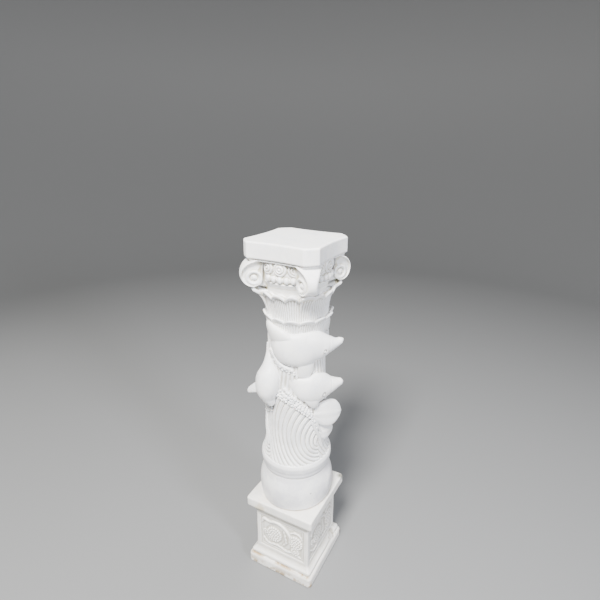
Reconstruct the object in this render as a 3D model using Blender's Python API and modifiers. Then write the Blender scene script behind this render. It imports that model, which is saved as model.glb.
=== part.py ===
"""Marble pedestal column: a square pedestal and, on it, a round column carved in one piece.

The pedestal has a plinth, a panelled die and a cap plate. The column has a bulging drum, a roll,
a shaft wrapped by waves and dolphins, and a composite capital with corner volutes under a thick
abacus. Metres, +Z up. The origin is the centre of the pedestal's underside, the front looks to -Y.
Angles go round the axis from the front, 0 at -Y and 90 at +X.
"""

import math

import bmesh
import bpy
import numpy as np
from mathutils import Matrix, Vector

# Pedestal
PLINTH_HALF = 0.096
PLINTH_HEIGHT = 0.030
PLINTH_EDGE = 0.005
STEP_HALF = 0.090
STEP_HEIGHT = 0.021
STEP_COVE = 0.0126
DIE_HALF = 0.079
DIE_HEIGHT = 0.113
CORNICE_HALF = 0.089
CORNICE_HEIGHT = 0.026
CAP_HALF = 0.097
CAP_HEIGHT = 0.0275
CORNER_ROUND = 0.003
PLINTH_CORNER_ROUND = 0.010
PANEL_MARGIN = 0.012
PANEL_DEPTH = 0.003
STEM_THICKNESS = 0.003
ARCH_THICKNESS = 0.0036
FLOWER_RISE = 0.0042
FLOWER_RADIUS = 0.021
CHIP_SIZE = 0.011

# Column, from the seam on the cap plate upward
SEAM_GAP = 0.0003
DRUM_FOOT_RADIUS = 0.091
DRUM_RADIUS = 0.0965
DRUM_HEIGHT = 0.094
NECK_RADIUS = 0.0865
ROLL_RADIUS = 0.0905
ROLL_HEIGHT = 0.054
SHAFT_RADIUS = 0.070
SHAFT_HEIGHT = 0.322
LOWER_LEAF_HEIGHT = 0.050
LOWER_LEAF_REACH = 0.085
LEAF_LEAN = 0.005
LEAF_LEAN_ANGLE = 113.0
LOWER_LEAF_COUNT = 14
UPPER_LEAF_HEIGHT = 0.062
UPPER_LEAF_REACH = 0.091
CORNER_LEAF_REACH = 0.111
CORNER_LEAF_SPAN = 21.0
SIDE_SCALLOPS = 3
LEAF_LIP = 0.004
BELL_HEIGHT = 0.018
BELL_RADIUS = 0.073
ECHINUS_HEIGHT = 0.052
ECHINUS_RADIUS = 0.080
FILLET_HEIGHT = 0.006
FILLET_INSET = 0.005
ABACUS_HEIGHT = 0.0382
ABACUS_HALF = 0.0965
ABACUS_CHAMFER = 0.025
ABACUS_HOLLOW = 0.005
ABACUS_EDGE = 0.003
EGG_RADIUS = 0.0165
EGG_DEPTH = 0.006
EGG_PITCH = 0.034
BEAD_RADIUS = 0.0066
BEAD_RISE = 0.0142
BEAD_PITCH = 0.0155
VOLUTE_REACH = 0.131
VOLUTE_RISE = 0.0408
VOLUTE_CORE = 0.018
VOLUTE_TOP_WIDTH = 0.036
VOLUTE_FOOT_WIDTH = 0.018
VOLUTE_SPLAY = 0.18
VOLUTE_SINK = 0.003
VOLUTE_EYE = 0.004

# Waves and figures on the shaft
WAVE_COUNT = 3
WAVE_FOCUS_ANGLE = 78.0
WAVE_SPACING = 0.0175
WAVE_RIDGES = 7
WAVE_RIDGE_RISE = 0.0034
WAVE_BED = 1.07
FOAM_RADIUS = 0.0055
LEAPING_GIRTH = 0.041
SWIMMING_GIRTH = 0.039
DIVING_GIRTH = 0.031
FIN_WIDTH = 0.021
FIN_THICKNESS = 0.008
FLUKE_WIDTH = 0.034
FLUKE_THICKNESS = 0.007

# Levels
STEP_Z = PLINTH_HEIGHT
DIE_Z = STEP_Z + STEP_HEIGHT
CORNICE_Z = DIE_Z + DIE_HEIGHT
CAP_Z = CORNICE_Z + CORNICE_HEIGHT
PEDESTAL_Z = CAP_Z + CAP_HEIGHT
DRUM_Z = PEDESTAL_Z + SEAM_GAP
ROLL_Z = DRUM_Z + DRUM_HEIGHT
SHAFT_Z = ROLL_Z + ROLL_HEIGHT
LOWER_LEAF_Z = SHAFT_Z + SHAFT_HEIGHT
UPPER_LEAF_Z = LOWER_LEAF_Z + LOWER_LEAF_HEIGHT
BELL_Z = UPPER_LEAF_Z + UPPER_LEAF_HEIGHT
ECHINUS_Z = BELL_Z + BELL_HEIGHT
FILLET_Z = ECHINUS_Z + ECHINUS_HEIGHT
ABACUS_Z = FILLET_Z + FILLET_HEIGHT
TOP_Z = ABACUS_Z + ABACUS_HEIGHT

DRUM_STEPS = 36
LEAF_STEPS = 56
MERGE = 0.00001


def clear_scene():
    for obj in list(bpy.data.objects):
        bpy.data.objects.remove(obj, do_unlink=True)


def collection(name):
    made = bpy.data.collections.new(name)
    bpy.context.scene.collection.children.link(made)
    return made


def material(name, colour, roughness):
    made = bpy.data.materials.new(name)
    made.use_nodes = True
    shader = made.node_tree.nodes["Principled BSDF"]
    shader.inputs["Base Color"].default_value = (*colour, 1.0)
    shader.inputs["Roughness"].default_value = roughness
    shader.inputs["Metallic"].default_value = 0.0
    return made


def polar(angle, radius, height):
    """A place from its angle round the axis in degrees, its distance from the axis and its height."""
    turn = math.radians(angle)
    return Vector((radius * math.sin(turn), -radius * math.cos(turn), height))


def on_shaft(angle, share, reach):
    """A place on the shaft: height as a share of the shaft, distance in shaft radii."""
    return polar(angle, SHAFT_RADIUS * reach, SHAFT_Z + SHAFT_HEIGHT * share)


def smooth_shade(mesh):
    mesh.shade_smooth()
    mesh.set_sharp_from_angle(angle=math.radians(38.0))


def add_object(name, mesh, into):
    obj = bpy.data.objects.new(name, mesh)
    into.objects.link(obj)
    return obj


def guide(obj):
    """Marks a body that is joined or cut and isn't a piece of its own."""
    obj.hide_render = True
    obj.display_type = "WIRE"
    return obj


def finish_bmesh(shape, name):
    bmesh.ops.remove_doubles(shape, verts=shape.verts, dist=MERGE)
    bmesh.ops.recalc_face_normals(shape, faces=shape.faces)
    mesh = bpy.data.meshes.new(name)
    shape.to_mesh(mesh)
    shape.free()
    return mesh


def turned(name, profile, steps, into):
    """A turned body: the profile runs down the outer side from the axis back to the axis."""
    mesh = bpy.data.meshes.new(name)
    points = [(radius, 0.0, height) for radius, height in profile]
    mesh.from_pydata(points, [(i, i + 1) for i in range(len(points) - 1)], [])
    obj = add_object(name, mesh, into)
    screw = obj.modifiers.new("turn", "SCREW")
    screw.steps = steps
    screw.render_steps = steps
    screw.use_merge_vertices = True
    screw.merge_threshold = 0.0001
    return obj


def baked(obj, into, name=None):
    """The evaluated form of an object as a plain mesh object, in place of the object."""
    graph = bpy.context.evaluated_depsgraph_get()
    mesh = bpy.data.meshes.new_from_object(obj.evaluated_get(graph))
    shape = bmesh.new()
    shape.from_mesh(mesh)
    bpy.data.meshes.remove(mesh)
    place = obj.matrix_world.copy()
    label = name or obj.name
    bpy.data.objects.remove(obj, do_unlink=True)
    made = add_object(label, finish_bmesh(shape, label), into)
    made.matrix_world = place
    return made


def loft(name, rings, into):
    """A closed body through rings of equal point count, each end closed to its middle."""
    rings = np.asarray(rings, dtype=float)
    count, sides, _ = rings.shape
    shape = bmesh.new()
    rows = [[shape.verts.new(point) for point in ring] for ring in rings]
    for lower, upper in zip(rows, rows[1:]):
        for i in range(sides):
            j = (i + 1) % sides
            shape.faces.new((lower[i], lower[j], upper[j], upper[i]))
    for row, ring in ((rows[0], rings[0]), (rows[-1], rings[-1])):
        middle = shape.verts.new(ring.mean(axis=0))
        for i in range(sides):
            shape.faces.new((row[i], row[(i + 1) % sides], middle))
    return add_object(name, finish_bmesh(shape, name), into)


def through(points, count):
    """A smooth path through the points (Catmull-Rom), at count even steps of its parameter."""
    data = np.array([tuple(point) for point in points], dtype=float)
    data = np.vstack([2 * data[0] - data[1], data, 2 * data[-1] - data[-2]])
    spans = len(data) - 3
    place = np.linspace(0.0, spans - 1e-9, count)
    i = place.astype(int)
    t = (place - i)[:, None]
    a, b, c, d = data[i], data[i + 1], data[i + 2], data[i + 3]
    return 0.5 * (2 * b + (c - a) * t + (2 * a - 5 * b + 4 * c - d) * t**2 + (3 * b - a - 3 * c + d) * t**3)


def eased(stops, count):
    """Values through (place, value) stops, at count even places from 0 to 1."""
    places = np.linspace(0.0, 1.0, count)
    return np.interp(places, [place for place, _ in stops], [value for _, value in stops])


def along(name, path, half_width, half_depth, sides, into):
    """A body of oval sections along a path; its depth lies away from the column's axis."""
    path = np.asarray(path)
    tangent = np.gradient(path, axis=0)
    tangent /= np.linalg.norm(tangent, axis=1)[:, None]
    outward = path * (1.0, 1.0, 0.0)
    outward /= np.linalg.norm(outward, axis=1)[:, None]
    outward -= (outward * tangent).sum(axis=1)[:, None] * tangent
    outward /= np.linalg.norm(outward, axis=1)[:, None]
    across = np.cross(tangent, outward)
    turn = 2 * np.pi * np.arange(sides) / sides
    width = np.broadcast_to(half_width, len(path))[:, None, None]
    depth = np.broadcast_to(half_depth, len(path))[:, None, None]
    rings = (
        path[:, None, :]
        + across[:, None, :] * np.sin(turn)[None, :, None] * width
        + outward[:, None, :] * np.cos(turn)[None, :, None] * depth
    )
    return loft(name, rings, into)


def flat_outline(name, points, low, high, into):
    """A flat outline given as (x, y) points, standing from one height to another."""
    curve = bpy.data.curves.new(name, "CURVE")
    curve.dimensions = "2D"
    curve.fill_mode = "BOTH"
    curve.extrude = (high - low) / 2
    spline = curve.splines.new("POLY")
    spline.points.add(len(points) - 1)
    for point, (x, y) in zip(spline.points, points):
        point.co = (x, y, 0.0, 1.0)
    spline.use_cyclic_u = True
    obj = add_object(name, curve, into)
    obj.location.z = (low + high) / 2
    bpy.context.view_layer.update()
    return baked(obj, into)


def apply_place(obj):
    bpy.context.view_layer.update()
    obj.data.transform(obj.matrix_world)
    obj.matrix_world = Matrix.Identity(4)
    return obj


def soften(obj, width, limit=30.0):
    bevel = obj.modifiers.new("soft edge", "BEVEL")
    bevel.width = width
    bevel.segments = 2
    bevel.limit_method = "ANGLE"
    bevel.angle_limit = math.radians(limit)


def join_all(obj, others, operation="UNION"):
    boolean = obj.modifiers.new("carving", "BOOLEAN")
    boolean.operation = operation
    boolean.solver = "EXACT"
    boolean.operand_type = "COLLECTION"
    boolean.collection = others


# Pedestal


def pedestal_levels():
    """Half width, height and corner radius at each level up the outside of the pedestal."""
    step_out = STEP_HALF - DIE_HALF
    cornice_out = CORNICE_HALF - DIE_HALF
    step = []
    for t in (0.0, 0.35, 0.7, 1.0):
        inward = math.sin(0.5 * math.pi * t)
        step.append((DIE_HALF + step_out * (1.0 - inward), DIE_Z - STEP_COVE * (1.0 - t)))
    cornice = []
    for t in (0.0, 0.25, 0.5, 0.75, 1.0):
        outward = 0.5 - 0.5 * math.cos(math.pi * t)
        cornice.append((DIE_HALF + cornice_out * outward, CORNICE_Z + CORNICE_HEIGHT * t))
    return [
        (PLINTH_HALF, 0.0, PLINTH_CORNER_ROUND),
        (PLINTH_HALF, STEP_Z - PLINTH_EDGE, PLINTH_CORNER_ROUND),
        (PLINTH_HALF - PLINTH_EDGE, STEP_Z, PLINTH_CORNER_ROUND - 0.3 * PLINTH_EDGE),
        (STEP_HALF, STEP_Z, 2 * CORNER_ROUND),
        (*step[0], 2 * CORNER_ROUND),
        *((half, height, CORNER_ROUND) for half, height in step[1:] + cornice),
        (CORNICE_HALF + 0.45 * (CAP_HALF - CORNICE_HALF), CAP_Z, CORNER_ROUND),
        (CAP_HALF, CAP_Z + CAP_HEIGHT * 0.18, CORNER_ROUND),
        (CAP_HALF, PEDESTAL_Z, CORNER_ROUND),
    ]


def rounded_square(half, height, corner):
    """One level's outline: four quarter arcs of four points each."""
    points = []
    for turn in range(4):
        for t in (0.0, 30.0, 60.0, 90.0):
            around = math.radians(90.0 * turn + t)
            x = math.copysign(half - corner, math.cos(math.radians(90.0 * turn + 45.0)))
            y = math.copysign(half - corner, math.sin(math.radians(90.0 * turn + 45.0)))
            points.append((x + corner * math.cos(around), y + corner * math.sin(around), height))
    return points


def panel_cutters(into):
    side = 2 * (DIE_HALF - PANEL_MARGIN)
    height = DIE_HEIGHT - PANEL_MARGIN
    for turn in range(4):
        shape = bmesh.new()
        bmesh.ops.create_cube(shape, size=1.0)
        shape.transform(Matrix.Diagonal((side, 2 * PANEL_DEPTH, height, 1.0)))
        shape.transform(Matrix.Translation((0.0, -DIE_HALF, DIE_Z + DIE_HEIGHT / 2)))
        shape.transform(Matrix.Rotation(turn * math.pi / 2, 4, "Z"))
        guide(add_object(f"panel_cut_{turn}", finish_bmesh(shape, "panel"), into))
    shape = bmesh.new()
    bmesh.ops.create_icosphere(shape, subdivisions=1, radius=CHIP_SIZE)
    shape.transform(Matrix.Diagonal((0.9, 1.1, 1.0, 1.0)))
    place = (STEP_HALF + CHIP_SIZE * 0.25, DIE_HALF * 0.62, DIE_Z - STEP_HEIGHT * 0.35)
    shape.transform(Matrix.Translation(place))
    guide(add_object("edge_chip", finish_bmesh(shape, "chip"), into))


def relief_flower(name, middle, rise, turn, into):
    """A round flower of six petals about a raised heart, on the panel of one side."""
    around = np.radians(np.arange(12) * 30.0)
    petal = 0.5 + 0.5 * np.cos(6.0 * around)
    rings = []
    for share, lift in ((1.0, -0.5), (1.0, 0.25), (0.74, 1.0), (0.42, 0.35), (0.20, 1.1)):
        spread = FLOWER_RADIUS * share * (1.0 - 0.22 * (1.0 - petal) * (share > 0.5))
        bump = rise * lift * (1.0 - 0.45 * (1.0 - petal) * (share > 0.5) * (lift > 0.5))
        x = middle[0] + spread * np.cos(around)
        z = middle[1] + spread * np.sin(around)
        rings.append(np.stack([x, -DIE_HALF + PANEL_DEPTH - bump * np.ones(12), z], axis=1))
    obj = loft(name, rings, into)
    obj.data.transform(Matrix.Rotation(turn * math.pi / 2, 4, "Z"))
    guide(obj)


def relief_scroll(name, points, thickness, turn, into):
    """A raised stem on the panel of one side, through points given as (x, height)."""
    path = through([(x, -DIE_HALF + PANEL_DEPTH, z) for x, z in points], 7)
    half = thickness * (np.sin(np.linspace(0.25, 0.9, 7) * math.pi) + 0.2)
    obj = along(name, path, half, half * 1.1, 4, into)
    obj.data.transform(Matrix.Rotation(turn * math.pi / 2, 4, "Z"))
    guide(obj)


def panel_relief(into):
    base = DIE_Z + PANEL_MARGIN / 2
    height = DIE_HEIGHT - PANEL_MARGIN
    half = DIE_HALF - PANEL_MARGIN
    left = (-0.30 * half, base + 0.52 * height)
    right = (0.62 * half, base + 0.50 * height)
    for turn in range(4):
        relief_flower(f"flower_left_{turn}", left, FLOWER_RISE, turn, into)
        relief_flower(f"flower_right_{turn}", right, FLOWER_RISE, turn, into)
        arch = [(-0.86, 0.92), (-0.55, 0.88), (-0.10, 0.95), (0.22, 0.90), (0.36, 0.74)]
        scroll = [(x * half, base + z * height) for x, z in arch]
        relief_scroll(f"arch_{turn}", scroll, ARCH_THICKNESS, turn, into)
        stem = [(-0.80, 0.30), (-0.45, 0.12), (0.05, 0.16), (0.45, 0.10), (0.82, 0.16)]
        scroll = [(x * half, base + z * height) for x, z in stem]
        relief_scroll(f"stem_{turn}", scroll, STEM_THICKNESS, turn, into)


def build_pedestal(piece, cuts, joins):
    rings = [rounded_square(*level) for level in pedestal_levels()]
    body = loft("pedestal", rings, piece)
    panel_cutters(cuts)
    panel_relief(joins)
    join_all(body, cuts, "DIFFERENCE")
    join_all(body, joins)
    smooth_shade(body.data)
    body.data.materials.append(material("pedestal marble", (0.86, 0.85, 0.82), 0.45))
    return body


# Column


def core_profile():
    """Echinus, bell, shaft, roll, neck and drum down the outside, closed on the axis at both ends."""
    drum = []
    for t in (1.0, 0.82, 0.6, 0.36, 0.14, 0.0):
        bulge = math.sin(math.pi * t) ** 0.8
        foot = DRUM_FOOT_RADIUS + (NECK_RADIUS - DRUM_FOOT_RADIUS) * t
        drum.append((foot + (DRUM_RADIUS - foot) * bulge, DRUM_Z + DRUM_HEIGHT * t))
    roll = []
    for t in (1.0, 0.82, 0.6, 0.38, 0.16):
        swell = math.sin(math.pi * min(t / 0.96, 1.0)) ** 0.6
        start = NECK_RADIUS + (SHAFT_RADIUS * 1.086 - NECK_RADIUS) * t**2
        roll.append((start + (ROLL_RADIUS - start) * swell, ROLL_Z + ROLL_HEIGHT * t))
    return [
        (0.0, ABACUS_Z),
        (ECHINUS_RADIUS, ABACUS_Z),
        (ECHINUS_RADIUS, ECHINUS_Z),
        (BELL_RADIUS + 0.25 * (ECHINUS_RADIUS - BELL_RADIUS), BELL_Z + BELL_HEIGHT * 0.6),
        (BELL_RADIUS, BELL_Z),
        (SHAFT_RADIUS * 0.97, LOWER_LEAF_Z),
        (SHAFT_RADIUS * 1.03, SHAFT_Z + SHAFT_HEIGHT * 0.4),
        *roll,
        *drum,
        (0.0, DRUM_Z),
    ]


def scallops(angle, count, shift):
    """1 in the middle of each of count equal leaves and 0 between them."""
    return np.abs(np.cos(np.radians((angle - shift) * count / 2.0))) ** 0.7


def upper_leaves(angle):
    """Height of the upper leaf edge from 0 between leaves to 1, and how much of a corner leaf it is."""
    from_corner = (angle + 180.0) % 90.0 - 45.0
    half = CORNER_LEAF_SPAN / 2.0
    corner = np.clip(np.cos(np.radians(from_corner * 90.0 / half)), 0.0, 1.0) * (np.abs(from_corner) < half)
    pitch = (90.0 - CORNER_LEAF_SPAN) / SIDE_SCALLOPS
    between = (np.abs(from_corner) - half) / pitch
    side = np.abs(np.sin(np.pi * between)) * (np.abs(from_corner) >= half)
    return np.maximum(corner, side) ** 0.7, corner**0.7


def leaf_sections(steps):
    """Rings up the two tiers of leaves: each ring has a radius and a height at every angle."""
    angle = np.arange(steps) * 360.0 / steps
    low = scallops(angle, LOWER_LEAF_COUNT, 22.0)
    high, corner = upper_leaves(angle)
    flat = np.ones(steps)
    lean = LEAF_LEAN * np.cos(np.radians(angle - LEAF_LEAN_ANGLE))
    swell = np.clip(1.4 * lean, 0.0, None)
    rim_low = LOWER_LEAF_REACH - SHAFT_RADIUS + lean
    rim_high = UPPER_LEAF_REACH - SHAFT_RADIUS
    far = (CORNER_LEAF_REACH - UPPER_LEAF_REACH) * corner
    low_tip = LOWER_LEAF_Z + LOWER_LEAF_HEIGHT * (0.88 + 0.12 * low)
    high_tip = UPPER_LEAF_Z + UPPER_LEAF_HEIGHT * (0.84 + 0.16 * high)
    sections = [
        (SHAFT_RADIUS * 0.99 * flat, LOWER_LEAF_Z - LOWER_LEAF_HEIGHT * 0.15 * low),
        (SHAFT_RADIUS + rim_low * (0.20 + 0.10 * low), LOWER_LEAF_Z + LOWER_LEAF_HEIGHT * 0.5 * flat),
        (SHAFT_RADIUS + rim_low * (0.45 + 0.55 * low), low_tip - 0.75 * LEAF_LIP),
        (SHAFT_RADIUS + rim_low * (0.35 + 0.50 * low), low_tip + 0.25 * LEAF_LIP),
        (SHAFT_RADIUS + 0.10 * rim_high + 0.6 * swell, UPPER_LEAF_Z + 0.75 * LEAF_LIP * flat),
        (SHAFT_RADIUS + 0.36 * rim_high + 0.20 * far + swell, UPPER_LEAF_Z + UPPER_LEAF_HEIGHT * 0.55 * flat),
        (SHAFT_RADIUS + rim_high * (0.60 + 0.40 * high) + far, high_tip - LEAF_LIP),
        (SHAFT_RADIUS + rim_high * (0.50 + 0.42 * high) + far * 0.95, high_tip + 0.4 * LEAF_LIP),
        (BELL_RADIUS * 0.99 + 0.4 * far, BELL_Z + BELL_HEIGHT * 0.12 * flat),
    ]
    turn = np.radians(angle)
    return [
        np.stack([radius * np.sin(turn), -radius * np.cos(turn), height * flat], axis=1)
        for radius, height in sections
    ]


def abacus_outline(inset):
    """Square plan with hollow sides and cut corners."""
    half = ABACUS_HALF - inset
    reach = half - ABACUS_CHAMFER
    points = []
    for turn in range(4):
        side = Matrix.Rotation(math.radians(90.0 * turn), 2)
        for t in np.linspace(-1.0, 1.0, 7):
            points.append(side @ Vector((reach * t, -half + ABACUS_HOLLOW * (1.0 - t**2))))
    return points


def abacus(into):
    slab = flat_outline("abacus", abacus_outline(0.0), ABACUS_Z, TOP_Z, into)
    apply_place(slab)
    soften(slab, ABACUS_EDGE)
    guide(slab)
    fillet = flat_outline("fillet", abacus_outline(FILLET_INSET), FILLET_Z, ABACUS_Z + ABACUS_EDGE, into)
    guide(apply_place(fillet))


def volute_radius(turn):
    """Distance of the scroll's edge from its eye; turn is in degrees, 90 at the top, then down and in."""
    wound = np.clip((turn + 180.0) / 270.0, 0.0, 1.3)
    return VOLUTE_CORE + (VOLUTE_RISE - VOLUTE_CORE) * wound**2


def volute(index, into):
    """One corner scroll, lofted across the diagonal: eye, hollow field and rim on each side.

    Its two faces are splayed, so it's a wedge that narrows outward to the band along its edge.
    """
    eye_out = VOLUTE_REACH - float(volute_radius(0.0))
    eye_z = FILLET_Z - VOLUTE_RISE
    turns = np.linspace(100.0, -185.0, 10)
    radius = volute_radius(turns)
    out = radius * np.cos(np.radians(turns))
    rise = radius * np.sin(np.radians(turns))
    top = FILLET_Z + FILLET_HEIGHT / 2 - eye_z
    rise[0] = top
    out = np.append(out, out[-1])
    rise = np.append(rise, top)
    angle = 45.0 + 90.0 * index
    forward = np.array(polar(angle, 1.0, 0.0))
    sideways = np.array(polar(angle + 90.0, 1.0, 0.0))
    height = np.array((0.0, 0.0, 1.0))
    sink = VOLUTE_SINK
    side = [(0.17, VOLUTE_EYE), (0.32, -sink), (0.66, -sink), (0.84, 0.0), (1.0, -0.5 * sink)]
    rings = []
    for sign, order in ((-1.0, side), (1.0, side[::-1])):
        for scale, proud in order:
            level = eye_z + rise * scale
            reach = eye_out + out * scale
            band = np.interp(level, [eye_z, FILLET_Z], [VOLUTE_FOOT_WIDTH / 2, VOLUTE_TOP_WIDTH / 2])
            half = band + VOLUTE_SPLAY * (VOLUTE_REACH - reach) + proud
            place = reach[:, None] * forward + level[:, None] * height
            rings.append(place + sign * half[:, None] * sideways)
    guide(loft(f"volute_{index}", rings, into))
    root = []
    for reach, half in ((0.7 * ECHINUS_RADIUS, 0.9 * VOLUTE_TOP_WIDTH), (eye_out, 0.5 * VOLUTE_FOOT_WIDTH)):
        corners = [(-half, -VOLUTE_CORE * 0.8), (half, -VOLUTE_CORE * 0.8), (half, top), (-half, top)]
        root.append([reach * forward + across * sideways + (eye_z + up) * height for across, up in corners])
    guide(loft(f"volute_root_{index}", root, into))


def echinus_ornament(into):
    """Three eggs and, under them, a row of five upright beads on each side."""
    egg_z = FILLET_Z - 0.8 * EGG_RADIUS
    bead_z = ECHINUS_Z + BEAD_RISE
    egg_pitch = math.degrees(EGG_PITCH / ECHINUS_RADIUS)
    bead_pitch = math.degrees(BEAD_PITCH / ECHINUS_RADIUS)
    for side in range(4):
        for k in range(3):
            angle = 90.0 * side + (k - 1) * egg_pitch
            egg(f"egg_{side}_{k}", angle, egg_z, into)
        stops = np.arange(-5, 6)
        path = [polar(90.0 * side + 0.5 * k * bead_pitch, ECHINUS_RADIUS, bead_z) for k in stops]
        swell = np.where(stops % 2 == 0, 1.0, 0.35)
        half = BEAD_RADIUS * swell
        guide(along(f"beads_{side}", [tuple(p) for p in path], half * 1.3, half, 6, into))


def egg(name, angle, height, into):
    """One egg of the echinus: a ball flattened against it."""
    shape = bmesh.new()
    bmesh.ops.create_uvsphere(shape, u_segments=8, v_segments=4, radius=1.0)
    upright = Vector((0.0, 0.0, EGG_RADIUS))
    axes = (polar(angle + 90.0, EGG_RADIUS, 0.0), polar(angle, EGG_DEPTH, 0.0), upright)
    shape.transform(Matrix(axes).transposed().to_4x4())
    shape.transform(Matrix.Translation(polar(angle, ECHINUS_RADIUS, height)))
    guide(add_object(name, finish_bmesh(shape, name), into))


# Waves


def wave_crest():
    """The foaming crest of one wave: angle before the focus and height as a share of the shaft."""
    return [(-76.0, 0.53), (-50.0, 0.475), (-35.0, 0.42), (-19.0, 0.35), (-6.0, 0.215), (13.0, 0.08)]


def crest_share(angle):
    angles = [a for a, _ in wave_crest()]
    shares = [s for _, s in wave_crest()]
    return np.interp(angle, angles, shares)


def wave_arc(radius):
    """Angles round the focus between which a flute of this radius lies under the crest."""
    around = np.radians(np.linspace(75.0, -78.0, 154))
    height = wave_height(radius, around)
    angle = -np.degrees(radius * np.cos(around) / (SHAFT_RADIUS * WAVE_BED))
    share = (height - SHAFT_Z) / SHAFT_HEIGHT
    inside = np.flatnonzero((share < crest_share(angle)) & (share > -0.05))
    return around[inside[0]], around[inside[-1]]


def wave_height(radius, around):
    return SHAFT_Z + SHAFT_HEIGHT * 0.10 + 0.42 * radius + 1.15 * radius * np.sin(around)


def wave_field(name, turn, into):
    """One wave's flutes as a grid: ridge and groove in turn outward, each row along its own arc."""
    steps = 7
    radii = WAVE_SPACING * (1.5 + 0.5 * np.arange(2 * WAVE_RIDGES + 1))
    top = []
    for k, radius in enumerate(radii):
        start, end = wave_arc(radius)
        around = np.linspace(start, end, steps)
        height = wave_height(radius, around)
        spin = np.radians(WAVE_FOCUS_ANGLE + turn) - radius * np.cos(around) / (SHAFT_RADIUS * WAVE_BED)
        rise = WAVE_RIDGE_RISE if k % 2 == 1 else 0.0
        reach = SHAFT_RADIUS * WAVE_BED + rise
        top.append(np.stack([reach * np.sin(spin), -reach * np.cos(spin), height], axis=1))
    top = np.array(top)
    inner = top * (0.86, 0.86, 1.0)
    shape = bmesh.new()
    sheets = [[[shape.verts.new(p) for p in row] for row in sheet] for sheet in (top, inner)]
    rows, columns = len(radii), steps
    for sheet in sheets:
        for i in range(rows - 1):
            for j in range(columns - 1):
                shape.faces.new((sheet[i][j], sheet[i][j + 1], sheet[i + 1][j + 1], sheet[i + 1][j]))
    border = [(i, 0) for i in range(rows)]
    border += [(rows - 1, j) for j in range(1, columns)]
    border += [(i, columns - 1) for i in range(rows - 2, -1, -1)]
    border += [(0, j) for j in range(columns - 2, 0, -1)]
    for (i, j), (m, n) in zip(border, border[1:] + border[:1]):
        shape.faces.new((sheets[0][i][j], sheets[0][m][n], sheets[1][m][n], sheets[1][i][j]))
    guide(add_object(name, finish_bmesh(shape, name), into))


def waves(into):
    for wave in range(WAVE_COUNT):
        turn = 360.0 / WAVE_COUNT * wave
        wave_field(f"flutes_{wave}", turn, into)
        start = WAVE_FOCUS_ANGLE + turn
        path = through([on_shaft(start + a, s, WAVE_BED - 0.03) for a, s in wave_crest()], 13)
        beads = FOAM_RADIUS * (0.82 + 0.18 * np.cos(np.arange(13) * math.pi))
        guide(along(f"crest_{wave}", path, beads * 1.2, beads * 1.3, 6, into))


# Dolphins


def dolphin(name, spine, girth, depths, turn, into):
    """A body through its spine from snout to tail: angle, share of the shaft, reach, share of the girth.

    The two depths say how far head and body stand from the shaft for their width.
    """
    count = len(spine)
    head, body = depths
    spots = through([(*on_shaft(a + turn, s, r), girth * half) for a, s, r, half in spine], count)
    share = eased([(0.0, 1.0), (0.25, head), (0.45, body), (1.0, body)], count)
    guide(along(name, spots[:, :3], spots[:, 3], spots[:, 3] * share, 8, into))


def fin(name, spine, width, thickness, turn, into):
    """A blade through its spine, root first: angle, share of the shaft, reach, share of the width."""
    spots = through([(*on_shaft(a + turn, s, r), width * half) for a, s, r, half in spine], 5)
    thick = thickness * eased([(0.0, 1.0), (0.6, 0.9), (1.0, 0.35)], 5)
    guide(along(name, spots[:, :3], spots[:, 3], thick, 6, into))


def leaping_dolphin(name, turn, into):
    spine = [
        (104.0, 0.955, 1.66, 0.17), (97.0, 0.940, 1.48, 0.27), (90.0, 0.935, 1.28, 0.51),
        (78.0, 0.935, 1.10, 0.80), (60.0, 0.940, 1.04, 0.93), (38.0, 0.925, 1.03, 1.00),
        (14.0, 0.925, 1.02, 0.95), (-6.0, 0.940, 1.01, 0.79), (-19.0, 0.958, 0.99, 0.57),
        (-29.0, 0.980, 0.96, 0.34), (-48.0, 1.010, 0.94, 0.26),
    ]
    dolphin(name, spine, LEAPING_GIRTH, (0.66, 0.40), turn, into)
    back = [
        (22.0, 1.000, 1.05, 0.45), (5.0, 1.012, 1.08, 0.98), (-12.0, 1.030, 1.08, 1.00),
        (-29.0, 1.055, 1.06, 0.84), (-50.0, 1.050, 1.01, 0.60),
    ]
    fin(f"{name}_dorsal", back, FIN_WIDTH, FIN_THICKNESS, turn, into)
    side = [(48.0, 0.86, 1.03, 1.00), (47.0, 0.78, 1.04, 0.92), (43.0, 0.69, 1.02, 0.62)]
    fin(f"{name}_flipper", side, FIN_WIDTH, FIN_THICKNESS, turn, into)


def swimming_dolphin(name, turn, into):
    spine = [
        (104.0, 0.603, 1.70, 0.17), (98.0, 0.602, 1.51, 0.33), (91.0, 0.598, 1.33, 0.59),
        (82.0, 0.598, 1.17, 0.87), (68.0, 0.595, 1.08, 1.00), (50.0, 0.605, 1.05, 0.87),
        (32.0, 0.635, 1.01, 0.62), (14.0, 0.665, 0.98, 0.33), (0.0, 0.690, 0.95, 0.15),
    ]
    dolphin(name, spine, SWIMMING_GIRTH, (0.66, 0.42), turn, into)
    side = [(59.0, 0.57, 1.11, 1.30), (61.0, 0.50, 1.14, 0.90), (63.0, 0.435, 1.13, 0.24)]
    fin(f"{name}_flipper", side, FIN_WIDTH, FIN_THICKNESS, turn, into)


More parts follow.
